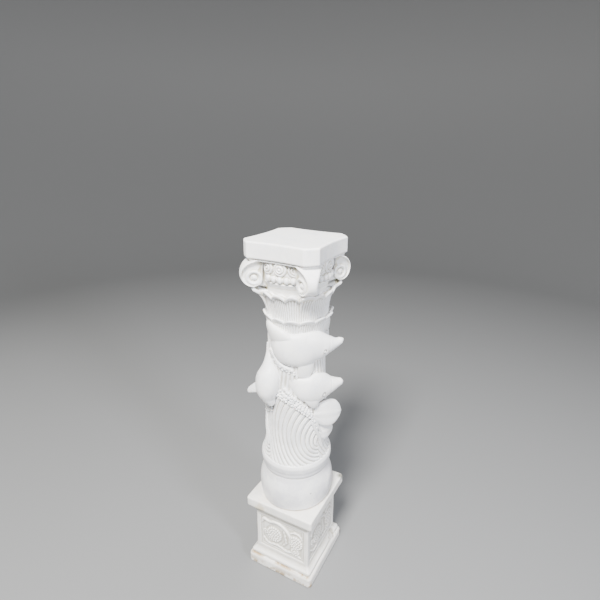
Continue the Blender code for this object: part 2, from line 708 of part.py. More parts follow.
def diving_dolphin(name, turn, into):
    spine = [
        (-17.0, 0.445, 1.13, 0.23), (-19.0, 0.475, 1.18, 0.39), (-22.0, 0.520, 1.22, 0.66),
        (-24.0, 0.580, 1.24, 0.92), (-26.0, 0.645, 1.18, 1.02), (-29.0, 0.705, 1.08, 0.92),
        (-37.0, 0.765, 1.00, 0.55), (-46.0, 0.825, 0.96, 0.32), (-51.0, 0.900, 0.94, 0.26),
    ]
    dolphin(name, spine, DIVING_GIRTH, (0.95, 0.88), turn, into)
    side = [(-34.0, 0.580, 1.16, 0.62), (-50.0, 0.530, 1.46, 0.60), (-59.0, 0.476, 1.77, 0.29)]
    fin(f"{name}_flipper", side, FIN_WIDTH, 0.75 * FIN_THICKNESS, turn, into)


def flukes(into):
    """The free lobe of a tail and a smaller one under it, on the right of the shaft."""
    large = [
        (66.0, 0.370, 1.00, 0.59), (84.0, 0.358, 1.22, 1.00), (97.0, 0.343, 1.46, 0.91),
        (106.0, 0.330, 1.66, 0.26),
    ]
    fin("fluke_large", large, FLUKE_WIDTH, FLUKE_THICKNESS, 0.0, into)
    small = [(80.0, 0.175, 1.02, 0.83), (94.0, 0.17, 1.20, 1.00), (107.0, 0.165, 1.36, 0.33)]
    fin("fluke_small", small, 0.7 * FLUKE_WIDTH, 0.85 * FLUKE_THICKNESS, 0.0, into)


def belly_foam(into):
    """A beaded rope of foam under the belly of the front leaping dolphin."""
    belly = [
        (-30.0, 0.880, 1.00), (-21.0, 0.860, 1.02), (-9.0, 0.810, 1.02), (5.0, 0.775, 1.02),
        (25.0, 0.752, 1.02),
    ]
    path = through([on_shaft(*spot) for spot in belly], 11)
    beads = FOAM_RADIUS * (0.85 + 0.15 * np.cos(np.arange(11) * math.pi))
    guide(along("belly_foam", path, beads, beads * 1.5, 5, into))


def figures(into):
    leaping_dolphin("upper_dolphin_front", 0.0, into)
    leaping_dolphin("upper_dolphin_back", 140.0, into)
    swimming_dolphin("lower_dolphin_right", 0.0, into)
    swimming_dolphin("lower_dolphin_back", 140.0, into)
    diving_dolphin("diving_dolphin_left", 0.0, into)
    diving_dolphin("diving_dolphin_back", 236.0, into)
    belly_foam(into)
    flukes(into)


def build_column(piece, joins):
    core = turned("column", core_profile(), DRUM_STEPS, piece)
    core = apply_place(baked(core, piece, "column"))
    guide(loft("leaves", leaf_sections(LEAF_STEPS), joins))
    abacus(joins)
    for index in range(4):
        volute(index, joins)
    echinus_ornament(joins)
    waves(joins)
    figures(joins)
    join_all(core, joins)
    smooth_shade(core.data)
    core.data.materials.append(material("column marble", (0.88, 0.87, 0.85), 0.42))
    return core


def main():
    clear_scene()
    piece = collection("marble pedestal column")
    panel_cuts = collection("pedestal cuts")
    panel_carving = collection("pedestal carving")
    column_carving = collection("column carving")
    build_pedestal(piece, panel_cuts, panel_carving)
    build_column(piece, column_carving)


main()
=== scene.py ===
"""Marble pedestal column: the carved marble, its stains, the floor, the light and the camera.

Metres, +Z up, origin at the middle of the pedestal's underside. Angles go round the axis in
degrees from the front, 0 at -Y and 90 at +X. Every piece is a surface worked out on a grid of two
parameters; the formula of each is in its function.
"""

import math

import bmesh
import bpy
import numpy as np
from mathutils import Matrix, Vector


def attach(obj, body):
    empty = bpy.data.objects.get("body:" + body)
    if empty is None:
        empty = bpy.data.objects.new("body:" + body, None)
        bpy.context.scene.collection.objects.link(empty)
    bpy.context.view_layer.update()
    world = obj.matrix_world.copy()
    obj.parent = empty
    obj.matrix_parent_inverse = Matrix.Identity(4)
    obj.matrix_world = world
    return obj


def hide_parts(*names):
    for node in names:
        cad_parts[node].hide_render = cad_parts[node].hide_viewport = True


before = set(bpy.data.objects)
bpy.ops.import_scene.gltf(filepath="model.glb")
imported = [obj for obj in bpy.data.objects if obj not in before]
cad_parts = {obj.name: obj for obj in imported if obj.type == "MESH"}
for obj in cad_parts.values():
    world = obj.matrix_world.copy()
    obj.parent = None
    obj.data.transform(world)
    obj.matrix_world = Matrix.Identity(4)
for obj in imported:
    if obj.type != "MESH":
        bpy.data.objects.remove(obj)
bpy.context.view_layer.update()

# Pedestal
PLINTH_HALF = 0.096
STEP_HALF = 0.090
STEP_COVE = 0.0126
DIE_Z = 0.051
DIE_HALF = 0.079
DIE_HEIGHT = 0.113
CORNICE_HALF = 0.089
CORNICE_Z = DIE_Z + DIE_HEIGHT
CORNICE_HEIGHT = 0.026
CAP_Z = CORNICE_Z + CORNICE_HEIGHT
CAP_HALF = 0.097
CAP_EDGE = 0.003
PEDESTAL_Z = 0.2175
PANEL_HALF = 0.067
PANEL_RISE = 0.0505
PANEL_DEPTH = 0.003

# Column
DRUM_Z = 0.2178
SHAFT_Z = 0.3658
SHAFT_HEIGHT = 0.322
SHAFT_RADIUS = 0.070
LOWER_LEAF_Z = SHAFT_Z + SHAFT_HEIGHT
LOWER_LEAF_HEIGHT = 0.050
LOWER_LEAF_COUNT = 14
UPPER_LEAF_Z = LOWER_LEAF_Z + LOWER_LEAF_HEIGHT
UPPER_LEAF_HEIGHT = 0.062
CORNER_LEAF_SPAN = 21.0
SIDE_SCALLOPS = 3
BELL_Z = UPPER_LEAF_Z + UPPER_LEAF_HEIGHT
BELL_RADIUS = 0.073
ECHINUS_Z = 0.8178
ECHINUS_RADIUS = 0.080
FILLET_Z = 0.8698
ABACUS_Z = 0.8758
TOP_Z = 0.914
ABACUS_HALF = 0.0965
ABACUS_CHAMFER = 0.025
ABACUS_HOLLOW = 0.005
ABACUS_FOOT_EDGE = 0.0028
ABACUS_TOP_EDGE = 0.0042
FILLET_INSET = 0.005
EGG_RADIUS = 0.0165
EGG_PITCH = 0.034
BEAD_RADIUS = 0.0064
BEAD_Z = ECHINUS_Z + 0.0142
BEAD_PITCH = 0.0155
ORNAMENT_TURN = 3.2
VOLUTE_REACH = 0.131
VOLUTE_RISE = 0.0408
VOLUTE_CORE = 0.018
VOLUTE_TOP_WIDTH = 0.036
VOLUTE_FOOT_WIDTH = 0.018
VOLUTE_SPLAY = 0.30

# Waves
WAVE_FOCUS = 78.0
WAVE_COUNT = 3
WAVE_BED = 0.0749
FLUTE_PITCH = 0.0118
FLUTE_DEPTH = 0.0044
BALL_RINGS = 7
BALL_SIDES = 10
CREST = np.array([
    (-230.0, 0.60), (-130.0, 0.58), (-107.0, 0.56), (-76.0, 0.53), (-50.0, 0.475), (-35.0, 0.42),
    (-19.0, 0.35), (-6.0, 0.215), (13.0, 0.08), (20.0, -0.05),
])

# Camera, as it was fitted in a frame of 600 by 600 pixels, its place in column heights
FRAME = 600.0
FOCAL_PIXELS = 430.35
MIDDLE_PIXEL = (330.0, 276.0)
CAMERA_AZIMUTH = 30.066
CAMERA_YAW = 4.622
CAMERA_PITCH = 16.92
CAMERA_ROLL = 1.399
CAMERA_AWAY = 1.063
CAMERA_UP = 1.222
SENSOR = 36.0


# Points and grids


def polar(angle, radius, height):
    """Points from angle in degrees, distance from the axis and height, as whole arrays."""
    turn = np.radians(angle)
    x, y, z = np.broadcast_arrays(radius * np.sin(turn), -radius * np.cos(turn), height)
    return np.stack([x, y, z], axis=-1)


def on_shaft(angle, share, reach):
    """A place from its height as a share of the shaft and its distance in shaft radii."""
    return polar(angle, SHAFT_RADIUS * reach, SHAFT_Z + SHAFT_HEIGHT * share)


def dome(distance, radius):
    """Height of a half ball of radius 1 at a distance from its middle, 0 outside it."""
    return np.sqrt(np.clip(1.0 - (distance / radius) ** 2, 0.0, 1.0))


def bump(distance, width):
    """1 at distance 0, falling as a smooth bell to nearly 0 at twice the width."""
    return np.exp(-((distance / width) ** 2))


def ease(value, low, high):
    """0 below low, 1 above high and a smooth cubic step between."""
    t = np.clip((value - low) / (high - low), 0.0, 1.0)
    return t * t * (3.0 - 2.0 * t)


def through(stops, count):
    """Smooth path through the stops (Catmull-Rom cubic), at count even steps of its parameter."""
    data = np.asarray(stops, dtype=float)
    data = np.vstack([2 * data[0] - data[1], data, 2 * data[-1] - data[-2]])
    place = np.linspace(0.0, len(data) - 3 - 1e-9, count)
    i = place.astype(int)
    t = (place - i)[:, None]
    a, b, c, d = data[i], data[i + 1], data[i + 2], data[i + 3]
    return 0.5 * (2 * b + (c - a) * t + (2 * a - 5 * b + 4 * c - d) * t**2 + (3 * b - a - 3 * c + d) * t**3)


def hand(points, amount=0.00035):
    """The unevenness of hand work: slow sine waves crossing along all three directions, none at the floor."""
    x, y, z = points[..., 0] * 95.0, points[..., 1] * 95.0, points[..., 2] * 80.0
    sway = np.stack([
        np.sin(y + 1.7 * np.sin(z * 0.7)),
        np.sin(z + 1.3 * np.sin(x * 0.8)),
        0.5 * np.sin(x + y + 0.9 * z),
    ], axis=-1)
    return points + amount * sway * ease(points[..., 2:], 0.0, 0.006)


def capped(rings):
    """Rings of a closed body with each end drawn together to its middle."""
    first = np.broadcast_to(rings[0].mean(axis=0), rings[0].shape)
    last = np.broadcast_to(rings[-1].mean(axis=0), rings[-1].shape)
    return np.concatenate([first[None], rings, last[None]])


def grid_faces(rows, columns):
    """Quads of a grid whose last column joins its first."""
    i, j = np.meshgrid(np.arange(rows - 1), np.arange(columns), indexing="ij")
    k = (j + 1) % columns
    low, high = i * columns, (i + 1) * columns
    return np.stack([low + j, low + k, high + k, high + j], axis=-1).reshape(-1, 4)


def four_sides(x, y):
    """The front quarter of an outline and its turns by 90, 180 and 270 degrees, one after another."""
    around = []
    for k in range(4):
        c, s = round(math.cos(k * math.pi / 2)), round(math.sin(k * math.pi / 2))
        around.append(np.stack([c * x - s * y, s * x + c * y], axis=-1))
    return np.concatenate(around, axis=1)


def hollows(mesh, rounds, contact_shade):
    """How far each point lies below its surroundings, from -1 on edges to 1 in grooves.

    Each round moves every point to the middle of its neighbours; the attribute is the distance
    from the point to the smoothed place along the normal, in millimetres, and 0.3 more where the
    piece meets another, which the function passed in gives as 0 to 1 for an array of points. The
    marble darkens by this attribute: dust and painted shade in the cuts, painted shade where pieces meet.
    """
    count = len(mesh.vertices)
    place = np.empty(count * 3)
    mesh.vertices.foreach_get("co", place)
    place = place.reshape(-1, 3)
    normal = np.empty(count * 3)
    mesh.vertices.foreach_get("normal", normal)
    ends = np.empty(len(mesh.edges) * 2, dtype=np.int32)
    mesh.edges.foreach_get("vertices", ends)
    a, b = ends.reshape(-1, 2).T
    valence = np.bincount(a, minlength=count) + np.bincount(b, minlength=count)
    smooth = place.copy()
    for _ in range(rounds):
        total = np.stack([
            np.bincount(a, smooth[b, k], count) + np.bincount(b, smooth[a, k], count) for k in range(3)
        ], axis=1)
        smooth = 0.3 * smooth + 0.7 * total / valence[:, None]
    depth = ((smooth - place) * normal.reshape(-1, 3)).sum(axis=1)
    values = mesh.attributes.new("hollow", "FLOAT", "POINT")
    # painted contact shade: points near another piece count as deeper, so the marble is darkened where pieces
    # meet
    if contact_shade is not None:
        depth = depth + 0.0003 * contact_shade(place)
    values.data.foreach_set("value", np.clip(depth * 1000.0, -1.0, 1.0))


def piece(name, grids, finish, node, rounds=10, contact_shade=None):
    """One mesh of closed grids, standing for a node of the frame."""
    start = 0
    corners, faces = [], []
    for grid in grids:
        rows, columns, _ = grid.shape
        corners.append(grid.reshape(-1, 3))
        faces.append(grid_faces(rows, columns) + start)
        start += rows * columns
    mesh = bpy.data.meshes.new(name)
    mesh.from_pydata(np.concatenate(corners), [], np.concatenate(faces))
    shape = bmesh.new()
    shape.from_mesh(mesh)
    bmesh.ops.remove_doubles(shape, verts=shape.verts, dist=0.000005)
    bmesh.ops.recalc_face_normals(shape, faces=shape.faces)
    shape.to_mesh(mesh)
    shape.free()
    mesh.shade_smooth()
    hollows(mesh, rounds, contact_shade)
    mesh.materials.append(finish)
    obj = bpy.data.objects.new(name, mesh)
    bpy.context.scene.collection.objects.link(obj)
    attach(obj, "root")
    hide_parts(node)
    return obj


# Pedestal


def pedestal_profile():
    """Outline up the side as (half width, height, corner radius), closely stepped."""
    stops = [(PLINTH_HALF - 0.002, 0.0, 0.008), (PLINTH_HALF, 0.003, 0.010)]
    stops += [(PLINTH_HALF, z, 0.010) for z in np.linspace(0.006, 0.021, 8)]
    for t in np.linspace(0.0, 1.0, 8):
        turn = 0.5 * math.pi * t
        stops.append((PLINTH_HALF - 0.006 * (1.0 - math.cos(turn)), 0.022 + 0.007 * math.sin(turn), 0.009))
    stops += [(STEP_HALF - 0.0012, 0.0290, 0.008), (STEP_HALF - 0.0005, 0.0302, 0.0075)]
    stops += [(STEP_HALF, z, 0.007) for z in np.linspace(0.0318, 0.0372, 5)]
    for t in np.linspace(0.0, 1.0, 12):
        inward = math.sin(0.5 * math.pi * t)
        half = DIE_HALF + (STEP_HALF - DIE_HALF) * (1.0 - inward)
        stops.append((half, DIE_Z - STEP_COVE * (1.0 - t), 0.0055 - 0.002 * t))
    stops += [(DIE_HALF, z, 0.0035) for z in np.linspace(DIE_Z + 0.001, CORNICE_Z - 0.001, 92)]
    for t in np.linspace(0.0, 1.0, 14):
        outward = 0.5 - 0.5 * math.cos(math.pi * t)
        half = DIE_HALF + (CORNICE_HALF - DIE_HALF) * outward
        stops.append((half, CORNICE_Z + CORNICE_HEIGHT * t * 0.92, 0.004))
    stops += [(CORNICE_HALF + 0.0005, CAP_Z - 0.0012, 0.004), (CORNICE_HALF + 0.0035, CAP_Z, 0.0045)]
    stops += [(CAP_HALF - 0.002, CAP_Z + 0.0015, 0.005), (CAP_HALF - 0.0006, CAP_Z + 0.0035, 0.0055)]
    stops += [(CAP_HALF, z, 0.006) for z in np.linspace(CAP_Z + 0.006, PEDESTAL_Z - 0.0035, 10)]
    for t in np.linspace(0.0, 1.0, 6)[1:]:
        turn = 0.5 * math.pi * t
        half = CAP_HALF - CAP_EDGE * (1.0 - math.cos(turn))
        stops.append((half, PEDESTAL_Z - CAP_EDGE * (1.0 - math.sin(turn)), 0.006))
    return np.array(stops)


def square_ring(half, corner, side_steps, corner_steps):
    """A square with rounded corners, column by column: four straight sides and four quarter arcs.

    Returns x and y as (level, column) arrays for arrays of half width and corner radius.
    """
    straight = np.linspace(-1.0, 1.0, side_steps)
    arc = np.linspace(0.0, 90.0, corner_steps + 2)[1:-1]
    half, corner = half[:, None], corner[:, None]
    reach = half - corner
    side = np.stack([reach * straight, -half * np.ones_like(straight)], axis=-1)
    turn = np.radians(arc - 90.0)
    bend = np.stack([reach + corner * np.cos(turn), -reach + corner * np.sin(turn)], axis=-1)
    quarter = np.concatenate([side, bend], axis=1)
    return four_sides(quarter[..., 0], quarter[..., 1])


def rosette(x, z, middle, rings, size, rise):
    """Balls on rings about a middle: each ring has a radius and a count, and each ball is a dome.

    The nearest ball of a ring lies at the place's own angle rounded to the ring's spacing.
    """
    across, up = x - middle[0], z - middle[1]
    distance = np.hypot(across, up)
    around = np.arctan2(up, across)
    height = np.zeros(x.shape)
    for radius, count in rings:
        step = 2 * math.pi / count
        aside = around - np.round(around / step) * step
        from_ball = np.hypot(distance * np.cos(aside) - radius, distance * np.sin(aside))
        height = np.maximum(height, dome(from_ball, size))
    swell = dome(distance, rings[0][0] + 1.6 * size)
    return rise * (0.62 * height + 0.38 * swell)


def stem(x, z, stops, width, rise, lobes=0.0):
    """A raised rounded band along a smooth path, with scalloped edges if lobes is given."""
    path = through(stops, 60)
    nearest = np.full(x.shape, 1e9)
    share = np.zeros(x.shape)
    for k in range(len(path)):
        distance = np.hypot(x - path[k, 0], z - path[k, 1])
        share = np.where(distance < nearest, k / len(path), share)
        nearest = np.minimum(nearest, distance)
    scalloped = 1.0 + 0.30 * np.sin(share * lobes * 2 * math.pi)
    edge = width * scalloped * np.sin(math.pi * (0.12 + 0.80 * share)) ** 0.5
    return rise * np.sqrt(np.clip(1.0 - (nearest / edge) ** 2, 0.0, 1.0))


def panel_relief(x, z):
    """Depth of one side of the die: a sunk panel with a fillet, its arch, two rosettes and garlands."""
    inset = np.minimum(PANEL_HALF - np.abs(x), PANEL_RISE - np.abs(z))
    sunk = PANEL_DEPTH * ease(inset, -0.0004, 0.0014)
    fillet = 0.0014 * bump(inset - 0.0050, 0.0013)
    arch = stem(x, z, [(-0.061, 0.030), (-0.056, 0.041), (-0.038, 0.0385), (-0.018, 0.0425), (0.000, 0.0395),
                       (0.014, 0.030), (0.024, 0.017), (0.026, 0.004)], 0.0050, 0.0056, 0.0)
    right = stem(x, z, [(0.026, 0.027), (0.040, 0.034), (0.054, 0.031), (0.061, 0.022)], 0.0030, 0.0036, 4.0)
    low = stem(x, z, [(-0.058, -0.024), (-0.042, -0.037), (-0.012, -0.034), (0.014, -0.040), (0.036, -0.036),
                      (0.058, -0.042)], 0.0036, 0.0036, 11.0)
    curl = stem(x, z, [(0.006, 0.022), (0.010, 0.004), (0.012, -0.014), (0.002, -0.027)], 0.0030, 0.0032, 5.0)
    carved = np.maximum.reduce([
        arch, right, low, curl,
        rosette(x, z, (-0.024, 0.000), [(0.0200, 19), (0.0132, 12), (0.0062, 6), (0.0, 1)], 0.0032, 0.0064),
        rosette(x, z, (0.042, 0.002), [(0.0180, 17), (0.0112, 10), (0.0040, 4)], 0.0031, 0.0062),
        rosette(x, z, (0.040, -0.029), [(0.0100, 10), (0.0035, 4)], 0.0028, 0.0052),
        rosette(x, z, (-0.052, -0.002), [(0.0060, 7), (0.0, 1)], 0.0022, 0.0038),
    ])
    return -sunk + fillet + carved * ease(inset, 0.001, 0.004)


def pedestal_grid():
    """The block as levels by columns: the profile sets half width and height, the ring runs round,
    and on the die the panel's depth is added outward from the side."""
    levels = pedestal_profile()
    side_steps, corner_steps = 118, 7
    ring = square_ring(levels[:, 0], levels[:, 2], side_steps, corner_steps)
    rows, columns, _ = ring.shape
    points = np.concatenate([ring, np.broadcast_to(levels[:, 1][:, None, None], (rows, columns, 1))], axis=2)
    on_die = (levels[:, 1] > DIE_Z) & (levels[:, 1] < CORNICE_Z)
    x = points[on_die][:, :side_steps, 0]
    z = points[on_die][:, :side_steps, 2] - (DIE_Z + DIE_HEIGHT / 2)
    depth = panel_relief(x, z)
    for k in range(4):
        columns_of_side = slice(k * (side_steps + corner_steps), k * (side_steps + corner_steps) + side_steps)
        out = np.array([math.sin(k * math.pi / 2), -math.cos(k * math.pi / 2)])
        block = points[on_die]
        block[:, columns_of_side, :2] += depth[..., None] * out
        points[on_die] = block
    return chipped(hand(points, 0.00025))


CHIPS = [
    ((0.0830, 0.054, 0.0350), 0.017, (1.0, 0.35, 0.9)),
    ((0.0855, 0.036, 0.0365), 0.007, (1.0, -0.4, 0.8)),
    ((0.0925, 0.064, 0.0270), 0.008, (1.0, 0.2, 0.9)),
    ((-0.0945, -0.0945, 0.0270), 0.007, (-1.0, -1.0, 1.0)),
    ((0.0955, -0.094, 0.2160), 0.005, (1.0, -1.0, 1.0)),
    ((0.0955, 0.094, 0.2135), 0.009, (1.0, 1.0, 1.0)),
]


def chipped(points):
    """Chips: inside each ball the surface is pushed to a plane through the ball, roughened by sines."""
    for middle, size, away in CHIPS:
        middle, away = np.array(middle), np.array(away) / np.linalg.norm(away)
        offset = points - middle
        distance = np.linalg.norm(offset, axis=-1)
        x, y, z = points[..., 0], points[..., 1], points[..., 2]
        rough = 0.0005 * np.sin(x * 2300.0) * np.sin(z * 1900.0 + y * 1500.0)
        height = offset @ away + rough
        push = np.clip(height, 0.0, None) * ease(size - distance, 0.0, 0.35 * size)
        points = points - push[..., None] * away
    return points


# Drum and shaft


BASE_RADIUS = np.array([
    (0.2178, 0.0905), (0.224, 0.0922), (0.236, 0.0948), (0.250, 0.0963), (0.264, 0.0965), (0.278, 0.0948),
    (0.290, 0.0915), (0.300, 0.0883), (0.308, 0.0866), (0.313, 0.0862), (0.3165, 0.0868), (0.322, 0.0888),
    (0.330, 0.0903), (0.339, 0.0908), (0.346, 0.0903), (0.352, 0.0888), (0.360, 0.0858), (0.370, 0.0822),
    (0.382, 0.0788), (0.396, 0.0764), (0.415, 0.0751), (0.520, 0.0730), (0.640, 0.0700), (0.720, 0.0680),
])


def base_radius(height):
    """Radius of drum, neck, collar and shaft: a smooth curve through the stops over the height."""
    curve = through(BASE_RADIUS[:, ::-1], 900)
    return np.interp(height, curve[:, 1], curve[:, 0])


def drum_grid():
    """Drum, neck and collar turned round the axis; the seam edge is drawn in under the foot."""
    height = np.concatenate([np.linspace(DRUM_Z, 0.33, 78), np.linspace(0.331, 0.352, 20)])
    radius = base_radius(height)
    radius -= 0.0016 * bump(height - DRUM_Z, 0.0018)
    radius -= 0.0012 * bump(height - 0.3135, 0.0014) + 0.0014 * bump(height - 0.3255, 0.0055)
    radius += 0.0010 * bump(height - 0.3440, 0.0050)
    height = np.append(height, [0.354, 0.356])
    radius = np.append(radius, [0.084, 0.070])
    angle = np.arange(240) * 1.5
    points = polar(angle[None, :], radius[:, None], height[:, None])
    return capped(hand(points, 0.0004))


def crest_share(before):
    """Height of a wave's crest as a share of the shaft, straight between its stops."""
    return np.interp(before, CREST[:, 0], CREST[:, 1])


def flute_radius(across, up):
    """Radius of the flute through a place, with across left of the focus and up above it.

    Flutes are eccentric ellipses: across = r cos t, up = 0.42 r + 1.15 r sin t, solved for r.
    """
    stretch = 1.15**2
    a = stretch - 0.42**2
    b = 0.84 * up
    c = stretch * across**2 + up**2
    return (-b + np.sqrt(b**2 + 4.0 * a * c)) / (2.0 * a)


def flutes(angle, height):
    """Relief of the waves over angle and height, and the height above the nearest crest."""
    share = (height - SHAFT_Z) / SHAFT_HEIGHT
    relief = np.zeros(np.broadcast(angle, height).shape)
    top = np.full(relief.shape, -1e9)
    for wave in range(WAVE_COUNT):
        focus = WAVE_FOCUS + 360.0 / WAVE_COUNT * wave
        before = (angle - focus + 230.0) % 360.0 - 230.0
        under = crest_share(before) - share
        across = -np.radians(before) * WAVE_BED
        up = height - (SHAFT_Z + 0.10 * SHAFT_HEIGHT)
        radius = flute_radius(across, up)
        phase = radius / FLUTE_PITCH
        ridge = np.abs(np.cos(math.pi * phase)) ** 0.75
        fine = 0.13 * np.cos(6.0 * math.pi * phase)
        edge = ease(under, 0.0, 0.02) * (before < 20.0) * (before > -125.0)
        here = FLUTE_DEPTH * (ridge - 0.55 + fine) * edge
        relief = np.where((under > 0.0) & (before < 20.0) & (before > -125.0), here, relief)
        top = np.where((before < 20.0) & (before > -125.0), np.maximum(top, -np.abs(under)), top)
    folds = 0.0011 * np.sin(np.radians(angle * 42.0) + 1.4 * np.sin(height * 60.0) + 20.0 * height)
    above = relief == 0.0
    relief = np.where(above, folds * ease(share, 0.1, 0.3), relief)
    return relief, top


def shaft_grid():
    """Shaft over angle and height: the base radius, the flutes and a dip under every crest."""
    height = np.linspace(0.342, 0.704, 222)
    angle = np.arange(396) * 360.0 / 396.0
    relief, top = flutes(angle[None, :], height[:, None])
    fade = ease(height, 0.3475, 0.358)[:, None]
    dip = 0.0018 * bump(top * SHAFT_HEIGHT, 0.0035)
    rim = (0.0026 * ease(height, 0.3500, 0.3530) * (1.0 - ease(height, 0.3560, 0.3900)))[:, None]
    radius = base_radius(height)[:, None] + (relief - dip) * fade - rim
    points = polar(angle[None, :], radius, height[:, None])
    return capped(hand(points, 0.0003))


def near_shaft(place):
    """1 on the shaft's surface, falling off e times every 3.5 mm away from it."""
    away = np.hypot(place[:, 0], place[:, 1]) - base_radius(place[:, 2])
    return np.exp(-np.clip(away, 0.0, 1.0) / 0.0035)


def near_figures(place):
    """1 at the side of a figure on the shaft, falling off e times every 4 mm away from it."""
    away = np.ones(len(place))
    for stops, girth, turns in FIGURES:
        for turn in turns:
            spots = through([(*on_shaft(a + turn, s, r), girth * half) for a, s, r, half in stops], 30)
            for x, y, z, half in spots:
                away = np.minimum(away, np.linalg.norm(place - (x, y, z), axis=1) - half)
    return np.exp(-np.clip(away, 0.0, 1.0) / 0.0040)


# Bodies along a path


def along(path, half_width, half_depth, sides=40, shape=None, skew=0.0):
    """Oval sections along a path; their depth lies away from the column's axis.

    A ring's point at turn t is path + width sin t across + depth cos t outward, and shape gives
    an added height along the ring's own direction, as a function of place and turn. A skew makes
    the body deeper on the side of turn 90 and thinner on the other.
    """
    tangent = np.gradient(path, axis=0)
    tangent /= np.linalg.norm(tangent, axis=1)[:, None]
    outward = path * (1.0, 1.0, 0.0)
    outward /= np.linalg.norm(outward, axis=1)[:, None]
    outward -= (outward * tangent).sum(axis=1)[:, None] * tangent
    outward /= np.linalg.norm(outward, axis=1)[:, None]
    across = np.cross(tangent, outward)
    turn = 2 * np.pi * np.arange(sides) / sides
    width = np.broadcast_to(half_width, len(path))[:, None, None]
    depth = np.broadcast_to(half_depth, len(path))[:, None, None]
    place = np.linspace(0.0, 1.0, len(path))[:, None]
    ring = across[:, None, :] * np.sin(turn)[None, :, None] * width
    ring = ring + outward[:, None, :] * (np.cos(turn) * (1.0 + skew * np.sin(turn)))[None, :, None] * depth
    if shape is not None:
        size = np.linalg.norm(ring, axis=2, keepdims=True)
        ring = ring * (1.0 + shape(place, turn[None, :])[..., None] / np.maximum(size, 0.0005))
    return capped(path[:, None, :] + ring)


def blade(stops, width, thickness, turn=0.0, ribs=0.0, skew=0.0):
    """A fin through its stops (angle, share, reach, share of its width), thinning to its tip."""
    spots = through([(*on_shaft(a + turn, s, r), width * half) for a, s, r, half in stops], 48)
    place = np.linspace(0.0, 1.0, 48)
    thick = thickness * (1.0 - 0.65 * place**2) * np.sqrt(np.clip((1.0 - place) * 9.0, 0.0, 1.0) + 0.02)
    half = spots[:, 3] * np.sqrt(np.clip((1.0 - place) * 12.0, 0.0, 1.0) + 0.02)

    def lines(_, around):
        return ribs * np.cos(9.0 * np.sin(around)) * np.abs(np.cos(around))

    return along(spots[:, :3], half, thick, 40, lines if ribs else None, skew)


def dolphin(stops, girth, depths, marks, turn, count, sides):
    """A dolphin from beak to tail through its stops (angle, share, reach, share of its girth).

    The marks are, as shares of the stops from the beak, the eye and the crease round the beak's
    root, and the turns of eye and mouth. The eye is a ball in a ringed hollow, the mouth a groove
    from the tip of the beak to below the eye. The two depths say how far head and body stand out
    for their width.
    """
    spots = through([(*on_shaft(a + turn, s, r), girth * half) for a, s, r, half in stops], count)
    place = np.linspace(0.0, 1.0, count)
    share = np.interp(place, [0.0, 0.12, 0.26, 0.45, 1.0], [1.0, 1.0, depths[0], depths[1], depths[1]])
    reach = count // 12
    window = np.ones(2 * reach + 1) / (2 * reach + 1)
    share = np.convolve(np.pad(share, reach, mode="edge"), window, mode="valid")
    half = spots[:, 3] * np.sqrt(np.clip(place * 22.0, 0.0, 1.0) + 0.03)
    mean = (0.5 * half * (1.0 + share))[:, None]
    gone = np.append(0.0, np.cumsum(np.linalg.norm(np.diff(spots[:, :3], axis=0), axis=1)))
    eye, crease, eye_turn, mouth_turn = marks
    eye_at, crease_at = np.interp([eye, crease], place, gone)

    def face(_, t):
        t = (t + math.pi) % (2 * math.pi) - math.pi
        away = np.hypot(gone[:, None] - eye_at, (t - eye_turn) * mean)
        ball = 0.0020 * bump(away, 0.0026) - 0.0018 * bump(away - 0.0048, 0.0015)
        ball = ball + 0.0012 * bump(away - 0.0075, 0.0015)
        fold = -0.0006 * bump(gone[:, None] - crease_at - 0.004 * np.cos(t - eye_turn), 0.0014)
        lip = -0.0020 * bump((t - mouth_turn) * mean, 0.0014) * ease(eye_at - gone[:, None], 0.0, 0.004)
        return ball + fold + lip * ease(gone[:, None], 0.001, 0.004)

    return along(spots[:, :3], half, half * share, sides, face)


LEAPING_GIRTH = 0.041
SWIMMING_GIRTH = 0.039
DIVING_GIRTH = 0.031
FIN_WIDTH = 0.021
FIN_THICKNESS = 0.008
FLUKE_WIDTH = 0.034
FLUKE_THICKNESS = 0.007
LEAPING = [
    (104.0, 0.955, 1.66, 0.17), (97.0, 0.940, 1.48, 0.27), (90.0, 0.935, 1.28, 0.51),
    (78.0, 0.935, 1.10, 0.80), (60.0, 0.940, 1.04, 0.93), (38.0, 0.925, 1.03, 1.00),
    (14.0, 0.925, 1.02, 0.94), (-4.0, 0.935, 1.01, 0.76), (-17.0, 0.950, 0.98, 0.47),
    (-27.0, 0.975, 0.93, 0.26), (-48.0, 1.010, 0.90, 0.22),
]
LEAPING_BACK_FIN = [
    (22.0, 1.000, 1.05, 0.45), (5.0, 1.012, 1.08, 0.98), (-12.0, 1.030, 1.08, 1.00),
    (-29.0, 1.055, 1.06, 0.84), (-50.0, 1.050, 1.01, 0.60),
]
LEAPING_FLIPPER = [(48.0, 0.86, 1.03, 1.00), (47.0, 0.78, 1.04, 0.92), (43.0, 0.69, 1.02, 0.62)]
SWIMMING = [
    (104.0, 0.603, 1.70, 0.17), (98.0, 0.602, 1.51, 0.33), (91.0, 0.598, 1.33, 0.59),
    (82.0, 0.598, 1.17, 0.87), (68.0, 0.595, 1.08, 1.00), (50.0, 0.605, 1.05, 0.85),
    (32.0, 0.635, 0.98, 0.54), (14.0, 0.665, 0.95, 0.28), (0.0, 0.690, 0.94, 0.13),
]
SWIMMING_FLIPPER = [(59.0, 0.57, 1.11, 1.30), (61.0, 0.50, 1.14, 0.90), (63.0, 0.435, 1.13, 0.24)]
DIVING = [
    (-17.0, 0.445, 1.13, 0.23), (-19.0, 0.475, 1.18, 0.39), (-22.0, 0.520, 1.22, 0.66),
    (-24.0, 0.580, 1.24, 0.92), (-26.0, 0.645, 1.18, 1.02), (-29.0, 0.705, 1.08, 0.92),
    (-37.0, 0.765, 1.00, 0.55), (-46.0, 0.825, 0.96, 0.32), (-51.0, 0.900, 0.94, 0.26),
]
